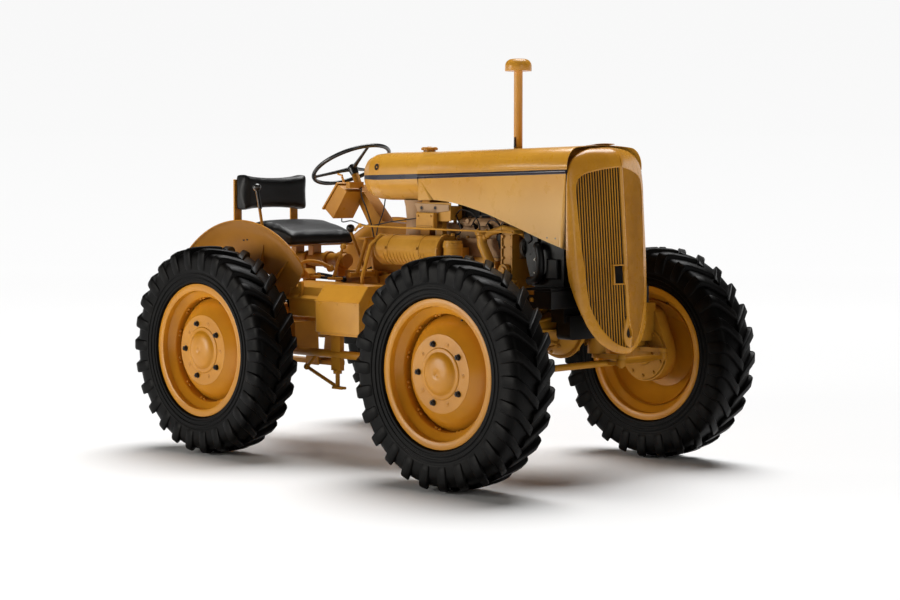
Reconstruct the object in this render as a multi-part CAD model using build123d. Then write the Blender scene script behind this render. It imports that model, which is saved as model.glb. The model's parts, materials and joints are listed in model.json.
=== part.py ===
"""Small four-wheel-drive farm tractor of the 1940s, with equal wheels, portal hubs and a shield-shaped grille.

Millimetres. X points forward, Y to the driver's left and Z up. The origin is on the ground, under the
middle of the wheelbase. Each function makes one piece or one pair of pieces. Paired pieces are drawn on
the driver's right, at negative Y, and mirrored. nodes() at the end names what is written.

Lengths along X run forward from the front axle or back from the rear axle, and heights run from the
axle tubes, so a change of the wheelbase or of the tyres carries everything with it.
"""
import math
import os

from build123d import *

# ---------------------------------------------------------------- wheels and tyres
WHEELBASE = 1690.0
TRACK = 1465.0
FRONT_X = WHEELBASE / 2
REAR_X = -WHEELBASE / 2
WHEEL_Y = TRACK / 2

TYRE_R = 525.0            # lug tips
TYRE_W = 250.0            # over the lug ends
TREAD_H = 32.0            # lug height at the crown
SHOULDER_IN = 17.0        # from the lug ends in to the edge of the tread
TREAD_HALF = TYRE_W / 2 - SHOULDER_IN
TYRE_WALL = 18.0
BULGE_R = 405.0           # where the sidewall stands out most
BEAD_IN = 16.0            # from the rim's flange in to the bead at its seat
LUGS_PER_SIDE = 26
LUG_W = 42.0
LUG_LEAD = 100.0          # how far the inner end runs ahead of the outer one
LUG_OVERLAP = 8.0         # the inner ends cross the middle by this much
LUG_OUT = TREAD_HALF + 3.0
TYRE_FLATS = 18

BEAD_R = 305.0
RIM_W = 194.0
FLANGE_H = 30.0
FLANGE_R = BEAD_R + FLANGE_H
RIM_T = 6.0
BEAD_SEAT_W = 31.0
WELL_DEPTH = 35.0
WELL_R = BEAD_R - WELL_DEPTH
WELL_W = 70.0
DISC_T = 8.0
DISC_FOOT = 30.0          # welded flange of the disc along the well
DISC_EDGE = -12.0         # where the disc leaves the well
RING_OUT = 72.0           # bolting ring, outboard of the tyre's middle
RING_R = 177.0
HUB_R = 62.0
HUB_IN = -20.0
CAP_R = 113.0
CAP_STEP = 6.0
DOME_R = 90.0
DOME_H = 14.0
PCD = 275.0
STUD_COUNT = 10
STUD_HOLE = 17.0

# ---------------------------------------------------------------- axles
HUB_Z = TYRE_R
PORTAL_DROP = 160.0
AXLE_Z = HUB_Z + PORTAL_DROP
RUN = 0.3                 # running clearance
CLEAR = 6.0               # between pieces that move past each other
TUBE_R = 46.0
CONE_R = 84.0
CONE_Y = 235.0            # where the axle's taper ends
DIFF_R = 128.0
DIFF_HALF = 92.0
FLANGE_T = 14.0
RIB_COUNT = 8
SWIVEL_R = 60.0
SWIVEL_HALF = 93.0
EAR_T = 25.0
EAR_R = 34.0
BOX_T = 75.0              # the portal case, outboard to its flat face
BOX_GAP = 25.5            # from that face to the tyre's middle
BOX_OUT = WHEEL_Y - BOX_GAP
BOX_IN = BOX_OUT - BOX_T
KINGPIN_IN = 42.0         # from the case's inner face in to the kingpin
KINGPIN_Y = BOX_IN - KINGPIN_IN
KINGPIN_R = 15.0
YOKE_IN = 88.0            # from the kingpin in to the yoke's back
YOKE_Y = KINGPIN_Y - YOKE_IN
YOKE_T = 26.0
BOX_LOW_R = 140.0
BOX_HIGH_R = 80.0
COVER_R = 84.0
COVER_T = 12.0
SPINDLE_R = 34.0
SPINDLE_OUT = 58.0        # spindle end, outboard of the tyre's middle

ARM_L = 150.0             # steering arms
ARM_T = 22.0
ARM_R = 24.0
ARM_Z = AXLE_Z - SWIVEL_HALF - EAR_T - CLEAR - ARM_T / 2     # the arms run under the lower ears
TIE_R = 16.0
BALL_R = 10.0
EYE_R = 22.0
EYE_T = 20.0
TIE_DROP = 5.0            # the tie rod passes this far under the arms
TIE_Z = ARM_Z - ARM_T / 2 - TIE_DROP - TIE_R
PITMAN_X = FRONT_X + 85.0
PITMAN_Y = 165.0
PITMAN_SHAFT_R = 14.0
PITMAN_SHAFT_L = 60.0
STEER_BOX_R = 44.0
STEER_BOX_H = 190.0
SHAFT_R = 12.0
JOINT_R = 20.0
TYRE_SWEEP = math.hypot(TYRE_R, WHEEL_Y - KINGPIN_Y + TYRE_W / 2)      # reach of the steered tyre round its kingpin

# ---------------------------------------------------------------- driveline and engine
BELL_X = FRONT_X - 805.0
BELL_R = 200.0
BELL_T = 70.0
BELL_Z = AXLE_Z + 105.0
GEARBOX_HALF = 120.0
GEARBOX_BOTTOM = AXLE_Z - 85.0
GEARBOX_TOP = AXLE_Z + 215.0
GEARBOX_REAR_X = REAR_X + 85.0
LID_T = 14.0
BLOCK_L = 650.0
BLOCK_FRONT_X = BELL_X + BLOCK_L
BLOCK_HALF = 130.0
BLOCK_BOTTOM = AXLE_Z - 45.0
BLOCK_TOP = AXLE_Z + 325.0
SUMP_DEPTH = 90.0
HEAD_H = 90.0
HEAD_SETBACK = 10.0
HEAD_INSET = 8.0
ROCKER_H = 70.0
ROCKER_TOP = BLOCK_TOP + HEAD_H + ROCKER_H
CYLINDERS = 4
FIRST_PORT_X = BELL_X + 305.0
PORT_PITCH = 96.0
MANIFOLD_R = 30.0
PORT_R = 20.0
MANIFOLD_Y = BLOCK_HALF + 75.0
MANIFOLD_Z = BLOCK_TOP + 35.0
GEAR_CASE_R = 76.0        # rounded case beside the bell housing
GEAR_CASE_Y = -200.0
GEAR_CASE_Z = BLOCK_TOP + 26.0
FAN_AHEAD = 110.0
FAN_X = BLOCK_FRONT_X + FAN_AHEAD
FAN_R = 190.0
FAN_Z = BLOCK_TOP + 57.0
FAN_BLADES = 4
FAN_TIP_GAP = 10.0
PULLEY_R = 62.0
SHROUD_GAP = 72.0         # from the fan's middle forward to the shroud's back
SHROUD_L = 104.0
SHROUD_X = FAN_X + SHROUD_GAP
SHROUD_HALF = FAN_R + FAN_TIP_GAP + 12.0
SHROUD_T = 3.0
RAD_X0 = SHROUD_X + SHROUD_L
RAD_T = 76.0
RAD_X1 = RAD_X0 + RAD_T
RAD_TANK_H = 80.0

# ---------------------------------------------------------------- frame
RAIL_OUT = 350.0
RAIL_W = 50.0
RAIL_H = 80.0
RAIL_T = 7.0
RAIL_REAR_Z = AXLE_Z - 20.0       # undersides
RAIL_FRONT_Z = AXLE_Z + 115.0
RAIL_REAR_X = REAR_X + 59.0
RAIL_FRONT_X = RAD_X1 + 33.0
RAMP_REAR_X = BELL_X + 80.0
RAMP_L = 300.0
RAMP_FRONT_X = RAMP_REAR_X + RAMP_L
SADDLE_HALF = 45.0
CROSS_R = 24.0
CROSS_X = REAR_X + 285.0
NOSE_T = 10.0
STRAP_Y = 130.0
STRAP_HALF = 20.0
LEDGE_T = 12.0

# ---------------------------------------------------------------- hood, tank and grille
SEAM_X = BELL_X + 10.0
NOSE_X = RAD_X1 + 60.0    # where hood and grille shell meet
SEAM_HALF = 165.0
NOSE_HALF = 268.0
SEAM_TOP = BLOCK_TOP + 513.0
NOSE_TOP = SEAM_TOP + 17.0
HINGE_DROP = 121.0        # hinge line below the crown
HINGE_SEAM_Z = SEAM_TOP - HINGE_DROP
HINGE_NOSE_Z = NOSE_TOP - HINGE_DROP + 1.0
SHEET = 3.0
HINGE_R = 7.0
HINGE_PIN_R = 4.0
HINGE_LEAVES = 9
HINGE_GAP = 1.5
PANEL_GAP = 5.0
PANEL_SEAM_Z = HINGE_SEAM_Z - 121.0     # lower edge of the side panels
PANEL_MID_X = SEAM_X + 470.0
PANEL_MID_Z = HINGE_SEAM_Z - 169.0
PANEL_FALL_X = SEAM_X + 730.0
PANEL_FALL_Z = HINGE_SEAM_Z - 242.0
PANEL_NOSE_Z = HINGE_SEAM_Z - 335.0
SHOULDER_R = 88.0
CROWN = 16.0
TANK_L = 480.0
TANK_TAIL_X = SEAM_X - TANK_L
TANK_ROUND = 190.0        # length of the rounded tail
TANK_H = 242.0
TANK_BOTTOM = SEAM_TOP - TANK_H
TANK_LOW_R = 104.0
BULGE = 2.3               # fullness of the tail: 2 is an ellipse
TANK_STAND_L = 80.0
TANK_STAND_HALF = 70.0
FILLER_X = SEAM_X - 80.0
FILLER_R = 42.0
FILLER_H = 38.0
FILLER_SINK = 6.0
STACK_X = SEAM_X + 522.0
STACK_R = 21.0
STACK_CAP_R = 64.0
STACK_H = 418.0           # above the crown
STACK_TOP = NOSE_TOP + STACK_H
STACK_CAP_H = 58.0
RAD_TOP = NOSE_TOP - 140.0
RAD_HALF = NOSE_HALF - 53.0
RAD_LOW_TANK_Z = AXLE_Z - 35.0

SHELL_T = 4.0
SHELL_TOP = NOSE_TOP - 10.0
SHELL_H = 942.0
SHELL_TIP_Z = SHELL_TOP - SHELL_H
SHELL_HALF = NOSE_HALF + 2.0
SHELL_SIDE_TOP = SHELL_TOP - 145.0      # where the straight sides end
SHELL_SIDE_LOW = SHELL_TOP - 530.0
RIDGE_TOP_X = NOSE_X + 94.0
RIDGE_LEAN = 0.072        # forward lean of the ridge, per millimetre down
PROW = 0.345              # fall-back of the V front, per millimetre outwards
SHELL_LOW_DEPTH = 46.0
FRAME_W = 36.0            # width of the border round the slots
RIDGE_HALF = 11.0
BAR_COUNT = 17
BAR_W = 5.6
BAR_T = 7.0
CRANK_UP = 102.0          # starting-handle hole, above the shell's tip
CRANK_R = 14.0
CRANK_SLOT = 30.0         # the hole narrows upwards over this height
SHELL_EDGE_R = 25.0
SHELL_RIDGE_R = 14.0
HATCH_IN, HATCH_W = 10.0, 50.0    # framed hole in the right half, from the ridge outwards
HATCH_UP, HATCH_H = 324.0, 78.0   # its sill above the shell's tip, and its height
HATCH_BORDER = 8.0

# ---------------------------------------------------------------- driver's place
COLUMN_TILT = 28.0        # from vertical, leaning back
WHEEL_X = SEAM_X - 659.0
WHEEL_Z = SEAM_TOP - 61.0
STEER_R = 208.0
STEER_RIM_R = 11.0
SPOKE_R = 7.0
SPOKES = 3
SPOKE_DISH = 18.0
STEER_HUB_R = 26.0
COLUMN_R = 19.0
COLUMN_SHAFT_R = 10.0
COLUMN_SHAFT_L = 80.0     # of the wheel's shaft inside the column
COLUMN_START = 34.0       # below the wheel's middle, along the column
COLUMN_L = 430.0
PEDESTAL_HALF = 40.0
DASH_OUT = 160.0          # instrument box, right of the column
DASH_IN = 20.0
SEAT_FRONT_X = REAR_X + 23.0
SEAT_L = 383.0
SEAT_HALF = 236.0
SEAT_Z = AXLE_Z + 357.0
SEAT_H = 100.0
SEAT_ROUND = 26.0
POST_X = SEAT_FRONT_X - 488.0     # rear faces of the back's posts
POST_Y = 200.0
POST_W = 50.0
POST_T = 10.0
BACK_T = 88.0
BACK_HALF = 215.0
BACK_Z0 = SEAT_Z + 173.0
BACK_H = 200.0
STAND_W = 40.0
SEAT_TUBE_R = 37.5
SEAT_TUBE_Z = SEAT_Z - 84.0
SEAT_TUBE_X0 = SEAT_FRONT_X - 253.0
SEAT_TUBE_L = 435.0
CLAMP_W = 26.0
FENDER_R = TYRE_R + 125.0
FENDER_LIP = 255.0        # radial depth of the pressing
FENDER_CORNER_R = 60.0
FENDER_HOLE_R = 6.0
FENDER_W = 90.0
FENDER_OUT = WHEEL_Y - TYRE_W / 2 - 47.5
FENDER_IN = FENDER_OUT - FENDER_W
FENDER_T = 4.0
FENDER_FROM = 38.0
FENDER_TO = 142.0
TOOLBOX_X0 = REAR_X + 568.0
TOOLBOX_L = 319.0
TOOLBOX_W = 200.0
TOOLBOX_Z0 = RAIL_REAR_Z - 31.0
TOOLBOX_H = 234.0
LID_FALL = 78.0
LID_RUN = 60.0
LOW_TUBE_Y = RAIL_OUT + 100.0
LOW_TUBE_R = 20.0
LOW_TUBE_Z = RAIL_REAR_Z - 145.0
LOW_TUBE_X0 = REAR_X + 205.0
LOW_TUBE_X1 = FRONT_X - TYRE_SWEEP - CLEAR
PEDAL_X = BELL_X - 340.0
PEDAL_Z = GEARBOX_TOP + 5.0
DRAWBAR_L = 490.0         # pin hole behind the rear axle
DRAWBAR_X = REAR_X - DRAWBAR_L
DRAWBAR_W = 60.0
DRAWBAR_T = 24.0
DRAWBAR_Z = HUB_Z - 125.0
DRAWBAR_PIN_R = 13.0
HANGER_Y = 56.0
HANGER_T = 12.0
PTO_R = 17.5
PTO_BOSS_R = 46.0
PTO_X0 = REAR_X - 140.0
PTO_L = 92.0
PTO_Z = HUB_Z + 75.0


# ---------------------------------------------------------------- helpers
def block(x0, x1, y0, y1, z0, z1):
    return Solid.make_box(x1 - x0, y1 - y0, z1 - z0, Plane((x0, y0, z0)))


def rod(start, end, radius):
    a, b = Vector(*start), Vector(*end)
    return Solid.make_cylinder(radius, (b - a).length, Plane(origin=a, z_dir=b - a))


def cone(start, end, r0, r1):
    a, b = Vector(*start), Vector(*end)
    return Solid.make_cone(r0, r1, (b - a).length, Plane(origin=a, z_dir=b - a))


def prism(points, direction):
    """Flat polygon swept straight along a vector."""
    face = Face(Wire.make_polygon([Vector(*p) for p in points], close=True))
    return Solid.extrude(face, Vector(*direction))


def side_plate(points, y0, y1):
    """Polygon in the side view, x and z, standing from y0 to y1."""
    return prism([(x, y0, z) for x, z in points], (0, y1 - y0, 0))


def turned(points, axis=Axis.Y):
    """Full revolution of a profile of offset and radius: offset runs outboard, to -Y."""
    face = Face(Wire.make_polygon([Vector(r, -o, 0) for o, r in points], close=True))
    return Solid.revolve(face, 360, axis)


def one(made):
    """A lone solid as itself, several as a compound."""
    if not isinstance(made, ShapeList):
        return made
    return made[0] if len(made) == 1 else Compound(children=list(made))


def join(first, *others):
    return one(first.fuse(*others))


def cut(first, *others):
    return one(first.cut(*others))


def meet(first, other):
    return one(first.intersect(other))


def pair(shape):
    return join(shape, shape.mirror(Plane.XZ))


def to_wheel(shape, x, side):
    """From the wheel's own place at the origin to its hub on the right or left."""
    placed = shape.moved(Location((x, -WHEEL_Y, HUB_Z)))
    return placed if side == "right" else placed.mirror(Plane.XZ)


def on_side(shape, side):
    return shape if side == "right" else shape.mirror(Plane.XZ)


def around(shape, count, axis, first=0.0):
    return [shape.rotate(axis, first + i * 360.0 / count) for i in range(count)]


# ---------------------------------------------------------------- wheels
def stave_ring(profile, flats):
    """Closed ring of flat staves round the Y axis. The flats' middles keep the profile's radii."""
    swell = 1 / math.cos(math.pi / flats)
    faces = []
    for j in range(flats):
        a0, a1 = 2 * math.pi * j / flats, 2 * math.pi * (j + 1) / flats
        for (o0, r0), (o1, r1) in zip(profile, profile[1:] + profile[:1]):
            corners = [(o0, r0, a0), (o1, r1, a0), (o1, r1, a1), (o0, r0, a1)]
            faces.append(Face(Wire.make_polygon(
                [Vector(r * swell * math.cos(a), -o, r * swell * math.sin(a)) for o, r, a in corners], close=True)))
    return Solid(Shell(faces))


def lug(row):
    """One bar of the chevron at the front of the wheel: its inner end runs ahead, so it is the lower one."""
    crown, half, reach = TYRE_R - TREAD_H, LUG_W / 2, LUG_LEAD / 2
    top = math.sqrt(TYRE_R ** 2 - (reach + half) ** 2)
    slope = LUG_LEAD / (LUG_OUT + LUG_OVERLAP)
    outline = [(-LUG_OVERLAP, crown - 14.0), (-LUG_OVERLAP, top), (LUG_OUT, top), (LUG_OUT - 9.0, crown - 20.0)]
    return prism([(r, -row * o, (o + LUG_OVERLAP) * slope - reach - half) for o, r in outline], (0, 0, LUG_W))


def tyre():
    crown = TYRE_R - TREAD_H
    bead = RIM_W / 2 - RIM_T - BEAD_IN
    half = [(bead, BEAD_R), (TYRE_W / 2, BULGE_R), (TREAD_HALF, crown - 10)]
    cavity = [(TREAD_HALF - TYRE_WALL, crown - 10 - TYRE_WALL), (bead - TYRE_WALL, BEAD_R)]
    profile = half + [(-o, r) for o, r in half[::-1]] + [(-o, r) for o, r in cavity[::-1]] + cavity
    pitch = 360.0 / LUGS_PER_SIDE
    touch = math.degrees(math.asin((LUG_LEAD / 2 + LUG_W / 2) / TYRE_R))     # turns one lug's corner straight down
    ring = stave_ring(profile, TYRE_FLATS)
    lugs = []
    for row, phase in ((1, 0.0), (-1, pitch / 2)):
        lugs += around(lug(row), LUGS_PER_SIDE, Axis.Y, phase + touch)
    return join(ring, *lugs)


def rim():
    """Drop-centre rim, dished disc, hub barrel and cap."""
    lip, seat, well = RIM_W / 2, RIM_W / 2 - RIM_T - BEAD_SEAT_W, WELL_W / 2
    upper = [(lip, FLANGE_R), (lip - RIM_T, FLANGE_R), (lip - RIM_T, BEAD_R), (seat, BEAD_R), (well, WELL_R)]
    lower = [(well + 3, WELL_R - RIM_T), (seat + 2, BEAD_R - RIM_T), (lip, BEAD_R - RIM_T)]
    band = turned(upper + [(-o, r) for o, r in upper[::-1]] + [(-o, r) for o, r in lower[::-1]] + lower)
    foot_r = WELL_R - RIM_T
    front = [(DISC_EDGE - DISC_FOOT, foot_r), (DISC_EDGE, foot_r), (DISC_EDGE + 34, foot_r - 24),
             (RING_OUT - 22, RING_R + 26), (RING_OUT - 5, RING_R + 7), (RING_OUT, RING_R), (RING_OUT, HUB_R)]
    back = [(RING_OUT - DISC_T, HUB_R), (RING_OUT - DISC_T, RING_R - 4), (RING_OUT - 13, RING_R),
            (RING_OUT - 30, RING_R + 20), (DISC_EDGE + 26, foot_r - 30), (DISC_EDGE - 2, foot_r - DISC_T),
            (DISC_EDGE - DISC_FOOT, foot_r - DISC_T)]
    disc = turned(front + back)
    cap = turned([(RING_OUT, SPINDLE_R), (RING_OUT, CAP_R), (RING_OUT + CAP_STEP, CAP_R - 4),
                  (RING_OUT + CAP_STEP, DOME_R), (RING_OUT + CAP_STEP + DOME_H * 0.7, DOME_R * 0.72),
                  (RING_OUT + CAP_STEP + DOME_H, DOME_R * 0.3), (RING_OUT + CAP_STEP + DOME_H, 0.01),
                  (RING_OUT - DISC_T, 0.01), (RING_OUT - DISC_T, SPINDLE_R)])
    hub = turned([(HUB_IN, SPINDLE_R + RUN), (HUB_IN, HUB_R), (RING_OUT, HUB_R), (RING_OUT, SPINDLE_R + RUN)])
    made = join(band, disc, hub, cap)
    hole = rod((PCD / 2, 0, 0), (PCD / 2, -RING_OUT - 20, 0), STUD_HOLE / 2)
    return made.cut(*around(hole, STUD_COUNT, Axis.Y)[::2])


# ---------------------------------------------------------------- axles and steering
def differential():
    """Ribbed bowl with its bolted flange, and the tapered tubes to both sides."""
    bowl = Solid.make_sphere(DIFF_R, Plane((0, 0, 0)), -90, 90, 360)
    bowl = meet(bowl, block(-DIFF_R, DIFF_R, -DIFF_HALF, DIFF_HALF, -DIFF_R, DIFF_R))
    flange = rod((0, -FLANGE_T / 2, 0), (0, FLANGE_T / 2, 0), DIFF_R + 16)
    taper = cone((0, -DIFF_HALF + 10, 0), (0, -CONE_Y, 0), CONE_R, TUBE_R)
    collar = rod((0, -CONE_Y, 0), (0, -CONE_Y - FLANGE_T, 0), TUBE_R + 16)
    rib = prism([(0, -DIFF_HALF + 6, CONE_R - 8), (0, -DIFF_HALF + 6, CONE_R + 20), (0, -CONE_Y, TUBE_R + 8),
                 (0, -CONE_Y, TUBE_R - 8)], (8, 0, 0)).moved(Location((-4, 0, 0)))
    return join(bowl, flange, pair(taper), pair(collar), *[pair(r) for r in around(rib, RIB_COUNT, Axis.Y)])


def diff_at(x):
    return differential().moved(Location((x, 0, AXLE_Z)))


def saddle(x):
    """Block that carries a rail on the axle tube."""
    y = RAIL_OUT - RAIL_W / 2
    return block(x - SADDLE_HALF, x + SADDLE_HALF, -y - 22, -y + 22, AXLE_Z - 10, RAIL_FRONT_Z)


def ear(z0, z1):
    """Plate round the kingpin, running back to the yoke."""
    disc = rod((0, -KINGPIN_Y, z0), (0, -KINGPIN_Y, z1), EAR_R)
    web = block(-EAR_R, EAR_R, -KINGPIN_Y, -YOKE_Y, z0, z1)
    bore = rod((0, -KINGPIN_Y, z0 - 1), (0, -KINGPIN_Y, z1 + 1), KINGPIN_R + RUN)
    return join(disc, web).cut(bore)


def front_axle():
    top, low = AXLE_Z + SWIVEL_HALF, AXLE_Z - SWIVEL_HALF
    tube = rod((0, -CONE_Y, 0), (0, -YOKE_Y, 0), TUBE_R).moved(Location((0, 0, AXLE_Z)))
    yoke = join(tube, block(-EAR_R - 6, EAR_R + 6, -YOKE_Y - YOKE_T / 2, -YOKE_Y + YOKE_T / 2, low - EAR_T, top + EAR_T),
                ear(top, top + EAR_T), ear(low - EAR_T, low), saddle(0))
    return join(differential().moved(Location((0, 0, AXLE_Z))), pair(yoke)).moved(Location((FRONT_X, 0, 0)))


def portal_box(x):
    """Drop gearbox: a tapering case from the axle down to the hub, its cover and the spindle."""
    span, drop = BOX_OUT - BOX_IN, PORTAL_DROP
    lean = math.asin((BOX_LOW_R - BOX_HIGH_R) / drop)
    c, s = math.cos(lean), math.sin(lean)
    cheeks = [(BOX_LOW_R * c, HUB_Z + BOX_LOW_R * s), (BOX_HIGH_R * c, AXLE_Z + BOX_HIGH_R * s)]
    outline = [(x + dx, z) for dx, z in cheeks] + [(x - dx, z) for dx, z in cheeks[::-1]]
    case = join(side_plate(outline, -BOX_OUT, -BOX_IN),
                rod((x, -BOX_IN, HUB_Z), (x, -BOX_OUT, HUB_Z), BOX_LOW_R),
                rod((x, -BOX_IN, AXLE_Z), (x, -BOX_OUT, AXLE_Z), BOX_HIGH_R))
    spindle = rod((x, -BOX_OUT + span / 2, HUB_Z), (x, -WHEEL_Y - SPINDLE_OUT, HUB_Z), SPINDLE_R)
    return join(case, spindle)


def cover(x):
    return rod((x, -BOX_IN, HUB_Z), (x, -BOX_IN + COVER_T, HUB_Z), COVER_R)


def rear_axle():
    tube = rod((REAR_X, -CONE_Y, AXLE_Z), (REAR_X, -BOX_IN, AXLE_Z), TUBE_R)
    collar = rod((REAR_X, -BOX_IN + 22, AXLE_Z), (REAR_X, -BOX_IN, AXLE_Z), TUBE_R + 22)
    side = join(tube, collar, portal_box(REAR_X), cover(REAR_X))
    return join(diff_at(REAR_X), pair(side))


def steering_arm(x, y):
    """Arm from a vertical shaft forward to its ball pin, which hangs below."""
    return join(rod((x, y, ARM_Z - ARM_T / 2), (x, y, ARM_Z + ARM_T / 2), ARM_R),
                rod((x + ARM_L, y, ARM_Z - ARM_T / 2), (x + ARM_L, y, ARM_Z + ARM_T / 2), ARM_R - 4),
                block(x, x + ARM_L, y - 15, y + 15, ARM_Z - ARM_T / 2, ARM_Z + ARM_T / 2),
                rod((x + ARM_L, y, ARM_Z), (x + ARM_L, y, TIE_Z - EYE_T), BALL_R))


def knuckle(side):
    top, low = AXLE_Z + SWIVEL_HALF - RUN, AXLE_Z - SWIVEL_HALF + RUN
    swivel = rod((FRONT_X, -KINGPIN_Y, low), (FRONT_X, -KINGPIN_Y, top), SWIVEL_R)
    pin = rod((FRONT_X, -KINGPIN_Y, low - EAR_T), (FRONT_X, -KINGPIN_Y, top + EAR_T), KINGPIN_R)
    neck = block(FRONT_X - SWIVEL_R, FRONT_X + SWIVEL_R, -BOX_IN - 10, -KINGPIN_Y, low, top)
    made = join(portal_box(FRONT_X), swivel, pin, neck)
    # the arm grows from the bottom of the box, just below the lower ear
    arm = steering_arm(FRONT_X, -KINGPIN_Y)
    foot = block(FRONT_X - 30, FRONT_X + 30, -BOX_IN - 10, -KINGPIN_Y, ARM_Z - ARM_T / 2, ARM_Z + ARM_T / 2)
    return on_side(join(made, arm, foot), side)


def eye(x, y, z):
    return rod((x, y, z - EYE_T / 2), (x, y, z + TIE_R + TIE_DROP - RUN), EYE_R)


def eye_bore(x, y, z):
    return rod((x, y, z - EYE_T), (x, y, z + TIE_R + TIE_DROP), BALL_R + RUN)


def tie_rod():
    """Bar across the front, with an eye at each end and one for the drop arm."""
    x, z = FRONT_X + ARM_L, TIE_Z
    bar = rod((x, -KINGPIN_Y + EYE_R / 2, z), (x, KINGPIN_Y - EYE_R / 2, z), TIE_R - 4)
    sleeve = rod((x, -KINGPIN_Y + 70, z), (x, KINGPIN_Y - 70, z), TIE_R)
    px = PITMAN_X + ARM_L
    branch = block(x, px, PITMAN_Y - 14, PITMAN_Y + 14, z - 8, z + 8)
    eyes = [(x, -KINGPIN_Y, z), (x, KINGPIN_Y, z), (px, PITMAN_Y, z)]
    return join(bar, sleeve, branch, *[eye(*e) for e in eyes]).cut(*[eye_bore(*e) for e in eyes])


def pitman_arm():
    top = ARM_Z + ARM_T / 2
    shaft = rod((PITMAN_X, PITMAN_Y, top), (PITMAN_X, PITMAN_Y, top + PITMAN_SHAFT_L), PITMAN_SHAFT_R)
    return join(steering_arm(PITMAN_X, PITMAN_Y), shaft)


def steering_gear():
    """Box on the front of the axle, and the jointed shaft that comes along the engine from the column."""
    z0 = ARM_Z + ARM_T / 2 + RUN
    box = rod((PITMAN_X, PITMAN_Y, z0), (PITMAN_X, PITMAN_Y, z0 + STEER_BOX_H), STEER_BOX_R)
    foot = block(FRONT_X, PITMAN_X, PITMAN_Y - 26, PITMAN_Y + 26, AXLE_Z - 30, AXLE_Z + 20)
    bore = rod((PITMAN_X, PITMAN_Y, z0 - 1), (PITMAN_X, PITMAN_Y, z0 + PITMAN_SHAFT_L + RUN),
               PITMAN_SHAFT_R + RUN)
    z1 = z0 + STEER_BOX_H - 25
    tube = rod((FRONT_X, -CONE_Y, AXLE_Z), (FRONT_X, CONE_Y, AXLE_Z), TUBE_R)
    route = [(PITMAN_X + 30, PITMAN_Y + 30, z1), (PITMAN_X - 26, PITMAN_Y + 30, z1),
             (PITMAN_X - 62, PITMAN_Y + 32, z1 + 55),
             (BELL_X + 210, GEARBOX_HALF + 105, GEARBOX_TOP + 30), (BELL_X - 290, PEDESTAL_HALF + 20, GEARBOX_TOP + 60)]
    worm = rod(route[0], route[1], 2 * SHAFT_R)
    shafts = [rod(p, q, SHAFT_R) for p, q in zip(route[1:], route[2:])]
    joints = [Solid.make_sphere(JOINT_R, Plane(p), -90, 90, 360) for p in route[1:4]]
    return cut(join(box, worm, *shafts, *joints, foot), bore, tube, diff_at(FRONT_X), transmission(), steering_column())


# ---------------------------------------------------------------- frame
def rail_outline(inset=0.0):
    low0, low1 = RAIL_REAR_Z + inset, RAIL_FRONT_Z + inset
    high0, high1 = RAIL_REAR_Z + RAIL_H - inset, RAIL_FRONT_Z + RAIL_H - inset
    return [(RAIL_REAR_X, low0), (RAMP_REAR_X, low0), (RAMP_FRONT_X, low1), (RAIL_FRONT_X, low1),
            (RAIL_FRONT_X, high1), (RAMP_FRONT_X, high1), (RAMP_REAR_X, high0), (RAIL_REAR_X, high0)]


def rail(side):
    """Channel, open inwards, with its heel plate on the rear axle."""
    outer = side_plate(rail_outline(), -RAIL_OUT, -RAIL_OUT + RAIL_W)
    hollow = side_plate(rail_outline(RAIL_T), -RAIL_OUT + RAIL_T, -RAIL_OUT + RAIL_W + 1)
    heel = side_plate([(RAIL_REAR_X, RAIL_REAR_Z - 30), (RAIL_REAR_X + 90, RAIL_REAR_Z),
                       (RAIL_REAR_X + 90, RAIL_REAR_Z + RAIL_H), (REAR_X, AXLE_Z + TUBE_R + 14),
                       (REAR_X - 30, AXLE_Z + TUBE_R + 14), (REAR_X - 30, RAIL_REAR_Z - 30)],
                      -RAIL_OUT, -RAIL_OUT + 16)
    heel = cut(heel, rod((REAR_X, -BOX_IN, AXLE_Z), (REAR_X, 0, AXLE_Z), TUBE_R))
    return on_side(join(cut(outer, hollow), heel), side)


def cross_tube(x):
    y = RAIL_OUT - RAIL_T
    return rod((x, -y, RAIL_REAR_Z + RAIL_H / 2), (x, y, RAIL_REAR_Z + RAIL_H / 2), CROSS_R)


def nose_plate():
    """Plate across the front of both rails, with two straps forward to the grille."""
    plate = block(RAIL_FRONT_X, RAIL_FRONT_X + NOSE_T, -RAIL_OUT, RAIL_OUT, RAIL_FRONT_Z, RAIL_FRONT_Z + RAIL_H)
    strap = block(RAIL_FRONT_X, ridge_x(SHELL_TIP_Z), -STRAP_Y - STRAP_HALF, -STRAP_Y + STRAP_HALF, RAIL_FRONT_Z + 30,
                  RAIL_FRONT_Z + 36)
    strap = meet(strap, prow(SHELL_T * 1.1 + BAR_T))
    return join(plate, pair(strap))


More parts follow.
